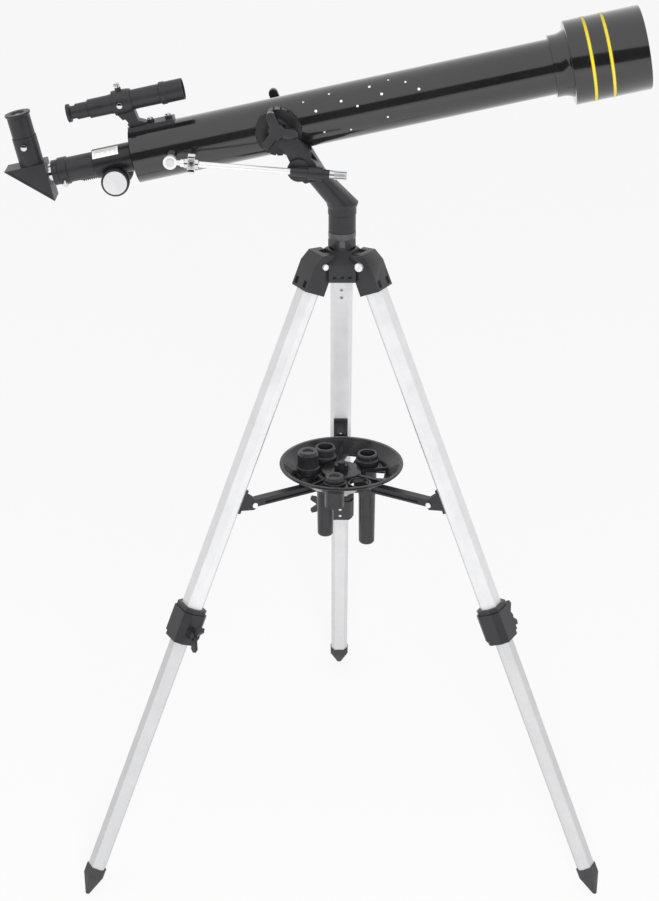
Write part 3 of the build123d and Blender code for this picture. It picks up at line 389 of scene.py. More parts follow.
# %% Lens glass
def coated_glass():
    """Clear glass with a thin coloured coating."""
    material = bpy.data.materials.new("coated_glass")
    material.use_nodes = True
    tree = material.node_tree
    shader = tree.nodes["Principled BSDF"]
    marks = tree.nodes.new("ShaderNodeGroup")
    marks.node_tree = handling_marks
    marks.inputs["Scale"].default_value = 20.0
    marks.inputs["Low"].default_value = 0.0
    marks.inputs["High"].default_value = 0.02
    facing = tree.nodes.new("ShaderNodeLayerWeight")
    facing.inputs["Blend"].default_value = 0.35
    ramp = tree.nodes.new("ShaderNodeValToRGB")
    ramp.color_ramp.elements[0].color = (0.55, 0.8, 0.7, 1.0)
    ramp.color_ramp.elements[1].color = (0.7, 0.5, 0.9, 1.0)
    tree.links.new(facing.outputs["Facing"], ramp.inputs["Fac"])
    tree.links.new(ramp.outputs["Color"], shader.inputs["Base Color"])
    tree.links.new(marks.outputs["Roughness"], shader.inputs["Roughness"])
    shader.inputs["Transmission Weight"].default_value = 1.0
    shader.inputs["IOR"].default_value = 1.5
    return material


glass = coated_glass()

# %% [markdown]
# ## Dressing the solid parts
# Each solid keeps its mesh and takes a finish in its own slot. The names say what each one is.

# %% Finishes for the solid parts
def dress(material, *names):
    """Puts a finish on solid parts."""
    for name in names:
        nodes[name].material_slots[0].material = material
    print(material.name, "on", len(names), "parts")


def each_leg(*stems):
    """Names of the pieces that every leg has."""
    return [f"{stem}_{leg}" for stem in stems for leg in leg_names]


dress(knob_black, "altitude_knob_near", "altitude_knob_far")
dress(plastic, "hub", "fork",
      "drawtube", "star_diagonal", "eyepiece", "finder_bracket", "finder_scope", "finder_eyepiece", "swivel",
      *each_leg("leg_top", "leg_clamp", "leg_screw", "brace_hinge", "brace"))
dress(housing_black, "saddle", "focuser_housing")
dress(tray_black, "tray", "tray_knob")
dress(rubber, *each_leg("foot"))
for leg in leg_names:
    dress(leg_lines[leg], f"leg_upper_{leg}")
    # Each lower section takes its darker copy, which is painted shade.
    dress(lower_legs_painted_shade[leg], f"leg_lower_{leg}")
dress(dark_steel, "column_post")
dress(steel, "leg_pivot_bolts", "focus_shaft")
dress(bright_zinc, "slow_motion_rod")
dress(chrome, "rod_eye_bolt", "diagonal_screw", "drawtube_screw", "finder_screws")
dress(glass, "objective_lens")
dress(barrel_black, "spare_eyepiece_low", "spare_eyepiece_high", "erecting_eyepiece", "barlow_lens")
dress(mirror, "diagonal_mirror")

# %% [markdown]
# ## Tube, lens cell and dew shield
# On the real instrument these three are turned and sprayed in a gloss enamel, and their long
# reflections show every facet. The solid's mesh has few faces, so each is turned again here with many
# steps, to the same sizes, with the small roundings that catch the light at its rims.

# %% Turned and enamelled pieces
wall = 0.0012
rear, front = tube_span
tube_section = [(rear, tube_radius - wall), (rear, tube_radius - 0.0003), (rear + 0.0003, tube_radius),
                (front, tube_radius), (front, tube_radius - wall)]
tube_piece = finish_piece(spun(tube_section, scope_frame, steps=160), "enamelled_tube", enamel,
                          "telescope")
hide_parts("main_tube")

cell_rear, cell_front = cell_span
cell_radius = cell_neck - 0.0037
flare_start = cell_rear + 0.0085
flare_end = cell_rear + 0.0197
cell_section = [(cell_rear, tube_radius + 0.00005), (cell_rear, cell_radius - 0.0005),
                (cell_rear + 0.0002, cell_radius - 0.0001), (cell_rear + 0.0006, cell_radius)]
for step in range(9):
    share = step / 8
    cell_section.append((flare_start + share * (flare_end - flare_start),
                         cell_radius + (cell_neck - cell_radius) * (1 - math.cos(share * math.pi / 2))))
cell_section += [(cell_front, cell_neck), (cell_front, 0.0300), (cell_rear + 0.036, 0.0300),
                 (cell_rear + 0.036, 0.03105), (cell_rear + 0.026, 0.03105), (cell_rear + 0.026, 0.0290),
                 (cell_rear + 0.0141, 0.0290), (cell_rear + 0.0141, tube_radius + 0.00005)]
cell_piece = finish_piece(spun(cell_section, scope_frame, steps=160), "enamelled_lens_cell", enamel,
                          "telescope")
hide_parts("lens_cell")

shield_rear, shield_front = shield_span
shield_wall = 0.0018
shield_section = [(shield_rear, cell_neck + 0.00005), (shield_rear, shield_radius - 0.0010),
                  (shield_rear + 0.0003, shield_radius - 0.0003), (shield_rear + 0.0010, shield_radius),
                  (shield_front - 0.0010, shield_radius), (shield_front - 0.0003, shield_radius - 0.0003),
                  (shield_front, shield_radius - 0.0009), (shield_front, shield_radius - shield_wall),
                  (shield_rear + 0.0030, shield_radius - shield_wall), (shield_rear + 0.0030, cell_neck + 0.0025),
                  (shield_rear + 0.0160, cell_neck + 0.0025), (shield_rear + 0.0160, cell_neck + 0.00005)]
shield_piece = finish_piece(spun(shield_section, scope_frame, steps=192), "enamelled_dew_shield", enamel,
                            "dew_shield")
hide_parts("dew_shield")

# %% [markdown]
# The inside of a dew shield is flocked or sprayed matt, so that it doesn't shine into the lens. A thin
# liner turned just inside the wall gives it that finish, and a matt baffle ring stands in the cell.

# %% Matt liner of the dew shield
liner_radius = shield_radius - shield_wall - 0.0001
liner_section = [(shield_rear + 0.0165, liner_radius), (shield_front - 0.0004, liner_radius),
                 (shield_front - 0.0004, liner_radius - 0.0004), (shield_rear + 0.0165, liner_radius - 0.0004)]
finish_piece(spun(liner_section, scope_frame, steps=128), "dew_shield_liner", flocking, "dew_shield")
baffle_section = [(rear + 0.30, 0.0200), (rear + 0.30, tube_radius - wall - 0.0001),
                  (rear + 0.3012, tube_radius - wall - 0.0001), (rear + 0.3012, 0.0200)]
finish_piece(spun(baffle_section, scope_frame, steps=96), "tube_baffle", flocking, "telescope")

# %% [markdown]
# ## Stripes
# Two plain yellow bands are painted round the dew shield. Each is a thin turned ring that stands a
# hair's breadth proud of the enamel, with a narrow darker line along both edges where the paint thins.

# %% Yellow stripes
for number, middle in enumerate((0.0230, 0.0447)):
    for kind, inner, outer, paint, lift in (("band", -0.0015, 0.0015, yellow, 0.00007),
                                            ("edge_a", -0.0022, -0.0015, olive, 0.00005),
                                            ("edge_b", 0.0015, 0.0022, olive, 0.00005)):
        low, high = shield_rear + middle + inner, shield_rear + middle + outer
        section = [(low, shield_radius - 0.0002), (low, shield_radius + lift),
                   (high, shield_radius + lift), (high, shield_radius - 0.0002)]
        finish_piece(spun(section, scope_frame, steps=160), f"stripe_{number}_{kind}", paint, "dew_shield")

# %% [markdown]
# ## Printed stars
# The tube carries a light scatter of printed dots, like a night sky. They follow no real figure: their
# places come from a seeded generator. Each dot is a very flat disc whose rim is rounded, set on the
# enamel and bent to nothing, because it is only two or three millimetres across.

# %% A scatter of star dots
def domed_disc(radius, rise, place, segments=32):
    """Bmesh of a low disc with a rounded rim, standing on the place's plane."""
    mesh = bmesh.new()
    bmesh.ops.create_circle(mesh, cap_ends=True, segments=segments, radius=radius)
    rise_made = bmesh.ops.extrude_face_region(mesh, geom=list(mesh.faces))
    top = [v for v in rise_made["geom"] if isinstance(v, bmesh.types.BMVert)]
    bmesh.ops.translate(mesh, verts=top, vec=(0, 0, rise))
    rims = [e for e in mesh.edges if e.verts[0].co.z > rise / 2 and e.verts[1].co.z > rise / 2]
    bmesh.ops.bevel(mesh, geom=rims, offset=min(rise, radius) * 0.45, offset_type="OFFSET", segments=3,
                    profile=0.5, affect="EDGES", material=-1, clamp_overlap=True)
    bmesh.ops.transform(mesh, matrix=place, verts=mesh.verts)
    return mesh


def on_tube(along, degrees_up, radius):
    """Frame on the tube's surface, its z outwards, at an angle above the near side."""
    angle = math.radians(degrees_up)
    out = (scope_frame.to_3x3() @ Vector((0, math.sin(angle), math.cos(angle)))).normalized()
    return frame_at(scope_origin + forward * along + out * radius, forward, out)


def together(meshes):
    """One bmesh from several."""
    joined = bmesh.new()
    for mesh in meshes:
        data = bpy.data.meshes.new("part_of_piece")
        mesh.to_mesh(data)
        mesh.free()
        joined.from_mesh(data)
        bpy.data.meshes.remove(data)
    return joined


sky_maker = random.Random(11)
dots = []
for step in range(11):
    along = 0.020 + step * 0.0150 + sky_maker.uniform(-0.004, 0.004)
    height = 12 + 58 * ((step * 0.618) % 1.0) + sky_maker.uniform(-5, 5)
    size = sky_maker.choice((0.0010, 0.0013, 0.0016))
    dots.append(domed_disc(size, 0.00012, on_tube(along, height, tube_radius - 0.00004), 20))
for along, height in ((0.052, -22), (0.083, -30), (0.128, -18)):
    dots.append(domed_disc(0.0011, 0.00012, on_tube(along, height, tube_radius - 0.00004), 20))
finish_piece(together(dots), "printed_stars", star_white, "telescope")

# %% [markdown]
# ## Scale label on the focuser
# A white label is stuck round the top of the focuser. It has a plain ruler printed on it, with
# no words. The label is part of a turned ring, and the ruler's lines are thin blocks set into it.

# %% A plain scale label
housing_radius = 0.0174
label_low, label_high = -0.2246, -0.1932
label_place = scope_frame @ Matrix.Rotation(math.radians(-76), 4, "X")
label_section = [(label_low, housing_radius - 0.0001), (label_low, housing_radius + 0.0002),
                 (label_high, housing_radius + 0.0002), (label_high, housing_radius - 0.0001)]
finish_piece(spun(label_section, label_place, steps=14, angle=math.radians(42)), "scale_label", label_white,
             "telescope")
ticks = []
for index in range(21):
    along = label_low + 0.0032 + index * 0.00125
    long_line = index % 5 == 0
    arc = math.radians(20 if long_line else 10)
    section = [(along - 0.00016, housing_radius), (along - 0.00016, housing_radius + 0.00026),
               (along + 0.00016, housing_radius + 0.00026), (along + 0.00016, housing_radius)]
    turn = scope_frame @ Matrix.Rotation(math.radians(-66), 4, "X")
    ticks.append(spun(section, turn, steps=5, angle=arc))
line_section = [(label_low + 0.0030, housing_radius), (label_low + 0.0030, housing_radius + 0.00026),
                (label_high - 0.0026, housing_radius + 0.00026), (label_high - 0.0026, housing_radius)]
ticks.append(spun(line_section, scope_frame @ Matrix.Rotation(math.radians(-66.9), 4, "X"), steps=2,
                  angle=math.radians(0.9)))
finish_piece(together(ticks), "scale_lines", print_grey, "telescope")

# %% [markdown]
# ## Focus knobs
# Each knob is a knurled black rim round a face of brushed silver. The rim, the hub that goes to the
# shaft and the two faces replace the plain knobs of the solid model and turn with the pinion.

# %% Knurled rims and silver faces
def turned_about(point, direction, section, steps=64):
    """Bmesh of a (height, radius) section turned about a line."""
    place = frame_at(point, direction, forward if abs(direction.dot(forward)) < 0.9 else upward)
    return spun(section, place, steps=steps)


knob_low, knob_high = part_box("focus_knobs")
knob_radius = 0.0168
knob_mid = centre_of("focus_knobs")
rims = []
faces = []
for way in (-1, 1):
    out = Vector((0, way, 0))
    seat = knob_mid + out * 0.018
    rims.append(softened(knurled(knob_radius, 0.013, 64, 0.0006, axle_frame(seat, out), 0.0007), 0.0001, 1, 80))
    rims.append(turned_about(knob_mid, out, [(0.0133, 0.0021), (0.0133, 0.0056), (0.0137, 0.0060),
                                             (0.0182, 0.0060), (0.0182, 0.0021)]))
    faces.append(turned_about(seat, out, [(0.0125, 0.0), (0.0125, 0.0139), (0.01305, 0.0142),
                                          (0.01335, 0.0139), (0.01345, 0.0090), (0.0135, 0.0)]))
rim_piece = finish_piece(together(rims), "focus_knob_rims", plastic, "pinion")
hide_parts("focus_knobs")
finish_piece(together(faces), "focus_knob_faces", brushed_face, "pinion")

# %% [markdown]
# ## Slow motion rod
# The thumbwheel and the clamp nut are knurled, so they replace the plain discs of the solid model. The
# wheel has a collar on both sides. The swivel's bright sleeve is a ring turned about the rod.

# %% Thumbwheel and clamp nut
def straight_axis(joint):
    """Unit direction of a joint."""
    return Vector(joints[joint]["axis"]).normalized()


rod_line = straight_axis("thumbwheel_turn")
if rod_line.x < 0:
    rod_line = -rod_line
wheel_mid = centre_of("thumbwheel")
wheel = [knurled(0.0114, 0.0086, 36, 0.0010, axle_frame(wheel_mid - rod_line * 0.0043, rod_line), 0.0005)]
wheel.append(turned_about(wheel_mid, rod_line, [(-0.0086, 0.0034), (-0.0086, 0.0050), (-0.0080, 0.0056),
                                                (0.0080, 0.0056), (0.0086, 0.0050), (0.0086, 0.0034)]))
wheel_piece = finish_piece(together(wheel), "knurled_thumbwheel", chrome, "wheel")
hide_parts("thumbwheel")
nut_mid = centre_of("rod_clamp_nut")
nut = [knurled(0.0054, 0.0150, 26, 0.0006, axle_frame(nut_mid - rod_line * 0.0040, rod_line), 0.0005)]
nut.append(turned_about(nut_mid, rod_line, [(-0.0105, 0.0034), (-0.0105, 0.0046), (-0.0100, 0.0050),
                                            (-0.0038, 0.0050), (-0.0038, 0.0034)]))
nut_piece = finish_piece(together(nut), "knurled_clamp_nut", chrome, "clamp_nut")
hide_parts("rod_clamp_nut")

# %% [markdown]
# ## Small screws
# The thumbscrews have straight knurls. A knurled sleeve goes over each plain head of the solid model.

# %% Knurled heads on the thumbscrews
def shell_mids(node):
    """Middle of each separate solid in a node."""
    mesh = bmesh.new()
    mesh.from_mesh(nodes[node].data)
    bmesh.ops.remove_doubles(mesh, verts=mesh.verts, dist=1e-6)
    left = set(mesh.verts)
    mids = []
    while left:
        shell = [left.pop()]
        for vert in shell:
            for edge in vert.link_edges:
                other = edge.other_vert(vert)
                if other in left:
                    left.remove(other)
                    shell.append(other)
        mids.append([v.co.copy() for v in shell])
    mesh.free()
    return mids


def head_sleeve(points, direction, radius, length, teeth=22):
    """Knurled sleeve over the outer end of a screw made of these points."""
    mid = sum(points, Vector()) / len(points)
    end = max((p - mid).dot(direction) for p in points)
    seat = mid + direction * (end - length)
    low = Vector([min(p[i] for p in points) for i in range(3)])
    high = Vector([max(p[i] for p in points) for i in range(3)])
    line = (low + high) / 2
    seat = line + direction * (seat - line).dot(direction)
    return knurled(radius, length + 0.0002, teeth, 0.0003, axle_frame(seat, direction), 0.0003)


screw_jobs = (("diagonal_screw", "diagonal_screw", "diagonal_screw_turn"),
              ("drawtube_screw", "drawtube_screw", "drawtube_screw_turn"))
for node, body, joint in screw_jobs:
    points = shell_mids(node)[0]
    direction = straight_axis(joint)
    if direction.y > 0:
        direction = -direction
    finish_piece(head_sleeve(points, direction, 0.0038, 0.005), f"{node}_knurl", chrome, body)

# %% [markdown]
# The finder's three adjusting screws are one node with three shells. Each shell's own direction is the
# way from the finder's axis to its middle, so no number has to be copied for them.

# %% Knurls on the finder's screws
finder_mid = centre_of("finder_scope")
finder_heads = []
for points in shell_mids("finder_screws"):
    middle = sum(points, Vector()) / len(points)
    away = middle - finder_mid
    away = away - forward * away.dot(forward)
    height = (middle - scope_origin).dot(upward)
    side = (middle - scope_origin).dot(near)
    if abs(side) > 0.006:
        way = near if side > 0 else -near
    else:
        way = upward
    reach = max((p - middle).dot(way) for p in points)
    wide = max((p - middle - way * (p - middle).dot(way)).length for p in points)
    print("finder screw", round(height, 4), round(side, 4), round(wide, 4))
    finder_heads.append(head_sleeve(points, way, wide + 0.0002, 0.0035, 18))
finish_piece(together(finder_heads), "finder_screw_knurls", chrome, "telescope")

# %% [markdown]
# ## Glass in the eyepieces
# An eye lens is a shallow dome of glass, set a little below the rim. The finder has one at each end. A
# half section is turned to make each of them.

# %% Eye lenses
def lens_disc(middle, direction, radius, rise):
    """Bmesh of a thin plano-convex glass on a line."""
    steps = 8
    section = [(0.0, 0.0), (0.0, radius)]
    for step in range(steps):
        share = 1 - step / steps
        section.append((0.0006 + rise * (1 - share * share), radius * share))
    section.append((0.0006 + rise, 0.0))
    return turned_about(middle, direction, section, steps=48)


eyepiece_top = max((v.co - scope_origin).dot(upward) for v in nodes["eyepiece"].data.vertices)
eyepiece_along = (centre_of("eyepiece") - scope_origin).dot(forward)
holder_mid = on_scope(-0.2995, eyepiece_top - 0.0029, 0.0)
finish_piece(lens_disc(holder_mid, upward, 0.0066, 0.0008), "eye_lens", glass, "eyepiece")
finish_piece(lens_disc(on_scope(-0.1185, 0.066, 0.0), forward, 0.0103, 0.0014), "finder_objective", glass,
             "telescope")
finish_piece(lens_disc(on_scope(-0.2405, 0.066, 0.0), -forward, 0.0033, 0.0004), "finder_eye_lens", glass,
             "finder_ocular")
nose_section = [(-0.2819, 0.01215), (-0.2819, 0.01245), (-0.2772, 0.01245), (-0.2772, 0.01215)]
finish_piece(spun(nose_section, scope_frame, steps=64), "diagonal_nose_band", chrome, "diagonal")

# %% [markdown]
# ## Frames of the legs
# Each leg leans outwards from its pivot. Its directions come from the joints: down the leg, straight
# out from its outer face, and sideways.

# %% A frame for each leg
def leg_axes(leg):
    """Pivot, outward and tangential directions, and the direction down a leg."""
    start = Vector(joints[f"leg_fold_{leg}"]["pos_m"])
    start.z = max(start.z, 0.0)
    down = straight_axis(f"leg_extend_{leg}")
    if down.z > 0:
        down = -down
    radial = Vector((down.x, down.y, 0.0)).normalized()
    outwards = (radial - down * radial.dot(down)).normalized()
    tangent = Vector((0, 0, 1)).cross(radial)
    return start, outwards, tangent, down


def face_reach(node, origin, direction, down, low, high):
    """How far a solid's vertices reach along a direction, between two distances down a leg."""
    reach = [(v.co - origin).dot(direction) for v in nodes[node].data.vertices
             if low <= (v.co - origin).dot(down) <= high]
    return max(reach)


# %% [markdown]
# ## Castings with more form
# The fork, the hub and the three leg tops are mouldings with slopes, windows and pockets. Each is built
# here from extruded outlines that Boolean modifiers add and cut, the way a model maker files a block to
# two outlines. The exact solver is used, because the cuts share planes with the blocks.

# %% Extruded outlines and Boolean steps
def prism(points, place, low, high):
    """Bmesh of an outline of (x, y) points in metres, extruded along the place's z axis."""
    mesh = bmesh.new()
    face = mesh.faces.new([mesh.verts.new((x, y, low)) for x, y in points])
    made = bmesh.ops.extrude_face_region(mesh, geom=[face])
    top = [v for v in made["geom"] if isinstance(v, bmesh.types.BMVert)]
    bmesh.ops.translate(mesh, verts=top, vec=(0, 0, high - low))
    bmesh.ops.transform(mesh, matrix=place, verts=mesh.verts)
    bmesh.ops.recalc_face_normals(mesh, faces=mesh.faces)
    return mesh


def rod_between(point, direction, low, high, radius, steps=48):
    """Bmesh of a plain round bar along a direction, used as a cutter or a boss."""
    return turned_about(point, direction, [(low, 0.0), (low, radius), (high, radius), (high, 0.0)], steps)


def as_object(mesh, name):
    """Links a bmesh as a temporary object."""
    bmesh.ops.remove_doubles(mesh, verts=mesh.verts, dist=1e-7)
    bmesh.ops.recalc_face_normals(mesh, faces=mesh.faces)
    data = bpy.data.meshes.new(name)
    mesh.to_mesh(data)
    mesh.free()
    made = bpy.data.objects.new(name, data)
    bpy.context.scene.collection.objects.link(made)
    return made


def carved(base, steps):
    """Bmesh of a base after Boolean steps; each step is an operation and the bmesh it uses."""
    work = as_object(base, "work")
    for operation, tool in steps:
        cutter = as_object(tool, "cutter")
        step = work.modifiers.new("step", "BOOLEAN")
        step.operation = operation
        step.solver = "EXACT"
        step.object = cutter
        done = bpy.data.meshes.new_from_object(work.evaluated_get(bpy.context.evaluated_depsgraph_get()))
        work.modifiers.clear()
        old = work.data
        work.data = done
        bpy.data.meshes.remove(old)
        bpy.data.objects.remove(cutter)
    mesh = bmesh.new()
    mesh.from_mesh(work.data)
    bpy.data.objects.remove(work)
    bmesh.ops.dissolve_limit(mesh, angle_limit=math.radians(1.0), verts=mesh.verts, edges=mesh.edges)
    return mesh


def mm(points):
    """Points in millimetres as metres."""
    return [(x / 1000, y / 1000) for x, y in points]


# %% [markdown]
# The fork is a Y seen from the front and a leaning blade seen from the side, so two extruded outlines
# are intersected. A trunk lofted from a ring to a rounded rectangle joins it to the turned collar.

# %% Fork
collar_base, collar_edge, fork_foot = 0.847, 0.883, 0.893
arm_up = (pivot - Vector((0, pivot.y, fork_foot))).normalized()
arm_out = Vector((arm_up.z, 0, -arm_up.x))
arm_run = (pivot - Vector((0, pivot.y, fork_foot))).length * 1000
inner, outer = 36.0, 49.0
y_outline = mm([(-20, 20), (20, 20), (20, 34), (outer, 58), (outer, arm_run + 20), (inner, arm_run + 20),
                (inner, 72), (14, 44), (-14, 44), (-inner, 72), (-inner, arm_run + 20),
                (-outer, arm_run + 20), (-outer, 58), (-20, 34)])
y_place = frame_at(Vector((0, 0, fork_foot)), Vector((0, 1, 0)), arm_out)
half = 11.5
corner = (arm_out.x * half, arm_out.z * half)
px, pz = pivot.x * 1000, pivot.z * 1000
side_outline = mm([(-19, 917), (-37, 937.5), (-36.5, 955.3), (px + corner[0], pz + corner[1]),
                   (px - corner[0], pz - corner[1]), (-66.3, 955.3), (-53, 927), (-44, 915)])
front_place = frame_at(Vector((0, 0, 0)), Vector((1, 0, 0)), near)
arms = carved(prism(y_outline, y_place, -0.04, 0.04), [("INTERSECT", prism(side_outline, front_place, -0.06, 0.06))])
softened(arms, 0.0007, 2, 35)
pieces = [arms]
for way in (-1, 1):
    pieces.append(softened(rod_between(pivot, near * way, inner / 1000, outer / 1000, half / 1000), 0.0006, 2, 60))
trunk = bmesh.new()
made = bmesh.ops.create_circle(trunk, segments=40, radius=0.0196)
bmesh.ops.rotate(trunk, verts=made["verts"], cent=(0, 0, 0), matrix=Matrix.Rotation(math.radians(4.5), 3, "Z"))
bmesh.ops.translate(trunk, verts=made["verts"], vec=(0, 0, collar_edge))
made = bmesh.ops.create_circle(trunk, segments=4, radius=math.sqrt(0.5))
block = made["verts"]
bmesh.ops.rotate(trunk, verts=block, cent=(0, 0, 0), matrix=Matrix.Rotation(math.radians(45), 3, "Z"))
bmesh.ops.scale(trunk, verts=block, vec=(0.0246, 0.040, 1.0))
bmesh.ops.translate(trunk, verts=block, vec=(-0.0427, 0, fork_foot + 0.037))
bmesh.ops.bevel(trunk, geom=block, offset=0.008, offset_type="OFFSET", segments=9, profile=0.5,
                affect="VERTICES", material=-1)
bmesh.ops.bridge_loops(trunk, edges=trunk.edges)
bmesh.ops.holes_fill(trunk, edges=trunk.edges, sides=0)
pieces.append(trunk)
collar_section = [(collar_base, 0.0112), (collar_base, 0.0162), (collar_base + 0.0004, 0.0166),
                  (0.8680, 0.0166), (0.8688, 0.0173), (0.8765, 0.0173), (0.8770, 0.0176), (0.8825, 0.0194),
                  (collar_edge, 0.0192), (collar_edge, 0.0112)]
pieces.append(turned_about(Vector((0, 0, 0)), Vector((0, 0, 1)), collar_section, 96))
swivel_boss = Vector((centre_of("swivel").x, 0, centre_of("swivel").z))
pieces.append(softened(rod_between(swivel_boss, near, 0.0362, 0.0488, 0.0108, 64), 0.0008, 2, 35))
fork_piece = finish_piece(together(pieces), "cast_fork", plastic, "yoke")
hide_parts("fork")

# %% [markdown]
# The hub has three broad faces with sloping roofs, pockets for the leg tops between them, and a neck of
# three ribs that run up into a ring. Three short slots stand along the foot of each broad face.

# %% Hub
hub_low, eave, roof = 0.791, 0.813, 0.826
neck_radius = 0.0164


def radial_place(azimuth):
    """Upright plane through the middle: x outwards, y up."""
    out = Vector((math.cos(math.radians(azimuth)), math.sin(math.radians(azimuth)), 0))
    return frame_at(Vector((0, 0, 0)), out, out.cross(Vector((0, 0, 1))))


leg_angles = {leg: math.degrees(math.atan2(leg_axes(leg)[0].y, leg_axes(leg)[0].x)) for leg in leg_names}
roof_outline = [(0, hub_low), (0.033, hub_low), (0.033, eave), (neck_radius, roof), (0, roof)]
blocks = [prism(roof_outline, radial_place(angle + 180), -0.0165, 0.0165) for angle in leg_angles.values()]
steps = [("UNION", blocks[1]), ("UNION", blocks[2]),
         ("UNION", rod_between(Vector((0, 0, 0)), Vector((0, 0, 1)), hub_low, eave - 0.0005, 0.024, 64))]
for leg, angle in leg_angles.items():
    start, outwards, tangent, down = leg_axes(leg)
    radial = Vector((start.x, start.y, 0)).normalized()
    room = [(0.020, hub_low - 0.001), (0.060, hub_low - 0.001), (0.060, roof + 0.001), (0.020, roof + 0.001)]
    steps.append(("DIFFERENCE", prism(room, radial_place(angle), -0.0176, 0.0176)))
    foot_slots = [prism([(0.0305, hub_low + 0.0055), (0.040, hub_low + 0.0055), (0.040, hub_low + 0.0085),
                         (0.0305, hub_low + 0.0085)], radial_place(angle + 180), place - 0.002, place + 0.002)
                  for place in (-0.009, 0.0, 0.009)]
    steps += [("DIFFERENCE", slot) for slot in foot_slots]
hub_mesh = softened(carved(blocks[0], steps), 0.0006, 2, 35)
pieces = [hub_mesh]
for leg, angle in leg_angles.items():
    start, outwards, tangent, down = leg_axes(leg)
    lug = rod_between(start, tangent, -0.007, 0.007, 0.011)
    web = [(0.019, start.z - 0.011), (0.034, start.z - 0.011), (0.034, start.z + 0.011), (0.019, start.z + 0.011)]
    pieces += [softened(lug, 0.0005, 2, 60), prism(web, radial_place(angle), -0.007, 0.007)]
neck = rod_between(Vector((0, 0, 0)), Vector((0, 0, 1)), eave - 0.001, collar_base - 0.0003, neck_radius, 96)
half = neck_radius * math.sin(math.radians(60)) - 0.00225
window = [(-half, roof), (half, roof), (half, collar_base - 0.0123), (half / 2, collar_base - 0.0063),
          (-half / 2, collar_base - 0.0063), (-half, collar_base - 0.0123)]
cuts = []
for angle in leg_angles.values():
    out = Vector((math.cos(math.radians(angle)), math.sin(math.radians(angle)), 0))
    cuts.append(("DIFFERENCE", prism(window, frame_at(Vector((0, 0, 0)), Vector((0, 0, 1)).cross(out), out),
                                     0.0135, 0.030)))
hub_piece = finish_piece(together(pieces), "cast_hub", plastic, "base")
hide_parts("hub")
neck_piece = finish_piece(softened(carved(neck, cuts), 0.0003, 2, 35), "ribbed_neck", plastic, "base")
ring_section = [(0.8385, 0.0150), (0.8385, 0.0165), (0.8400, 0.0169), (0.8462, 0.0169), (0.8466, 0.0165),
                (0.8466, 0.0150)]
finish_piece(turned_about(Vector((0, 0, 0)), Vector((0, 0, 1)), ring_section, 96), "neck_ring", lighter_grey,
             "base")
rib_runs = []
for angle in leg_angles.values():
    rib = [(0.0150, 0.8300), (0.0167, 0.8300), (0.0167, 0.8400), (0.0150, 0.8400)]
    rib_runs.append(softened(prism(rib, radial_place(angle + 180), -0.0036, 0.0036), 0.0004, 2, 35))
finish_piece(together(rib_runs), "neck_ribs", lighter_grey, "base")

# %% [markdown]
# A leg top is two cheeks round the hub's lug, closed on the outside, with a socket for the leg's tube
# below and two shallow square pockets near its lower corners.

# %% Leg tops
def leg_octagon(grow):
    """Corners of the leg tube's eight-sided section in the leg's frame, grown outwards."""
    side = 0.014 + grow
    face = side - 0.003
    half_ring = [(-face, -side + 0.005), (-face + 0.005, -side), (face - 0.009, -side), (face, -side + 0.006)]
    return half_ring + [(x, -y) for x, y in reversed(half_ring)]


top_outline = mm([(14, -35.5), (14, -3), (8.0, 11.5), (-7.2, 17.8), (-11, 4), (-13.5, -10), (-14, -35.5)])
slot_outline = mm([(-20, -16), (0, -16), (0, 0), (3.0, 7), (-1, 25), (-20, 25)])
for leg in leg_names:
    start, outwards, tangent, down = leg_axes(leg)
    side_place = frame_at(start, outwards, -tangent)
    across_place = frame_at(start + down * 0.0365, outwards, -down)
    steps = [("DIFFERENCE", prism(slot_outline, side_place, -0.0073, 0.0073)),
             ("DIFFERENCE", rod_between(start, tangent, -0.0073, 0.0073, 0.0113))]
    for way in (-1, 1):
        pocket = [(0.0117, -0.0320), (0.016, -0.0320), (0.016, -0.0235), (0.0117, -0.0235)]
        steps.append(("DIFFERENCE", prism(pocket, side_place, way * 0.0100 - 0.0036, way * 0.0100 + 0.0036)))
    steps.append(("DIFFERENCE", prism(leg_octagon(0.00005), across_place, 0.0, 0.019)))
    top_mesh = softened(carved(prism(top_outline, side_place, -0.017, 0.017), steps), 0.0011, 2, 35)
    top_piece = finish_piece(top_mesh, f"leg_head_{leg}", plastic, f"leg_{leg}")
    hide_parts(f"leg_top_{leg}")

# %% [markdown]
# ## Accessory tray
# The tray is one glossy moulding: a shallow bowl with a flared rim, five ringed holes for accessories,
# windows that save plastic, thin ribs, and a raised hub with a bolt in its middle. The bowl is turned,
# the rings, ribs and hub are added and the holes and windows are cut with Boolean steps.

# %% Tray moulding
tray_low = Vector(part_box("tray")[0])
tray_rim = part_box("tray")[1][2]
floor_level = tray_rim - 0.0175
rim_radius = 0.0798
upright = Vector((0, 0, 1))


def tray_point(azimuth, reach, level=0.0):
    """Point over the tray's floor at an azimuth and a distance from the middle."""
    angle = math.radians(azimuth)
    return Vector((reach * math.cos(angle), reach * math.sin(angle), floor_level + level))


def tray_block(azimuth, near_end, far_end, width, low, high):
    """A bar that lies along a radius of the tray."""
    out = tray_point(azimuth, 1.0) - Vector((0, 0, floor_level))
    place = frame_at(Vector((0, 0, floor_level)), out, upright)
    points = [(near_end, -width / 2), (far_end, -width / 2), (far_end, width / 2), (near_end, width / 2)]
    return prism(points, place, low, high)


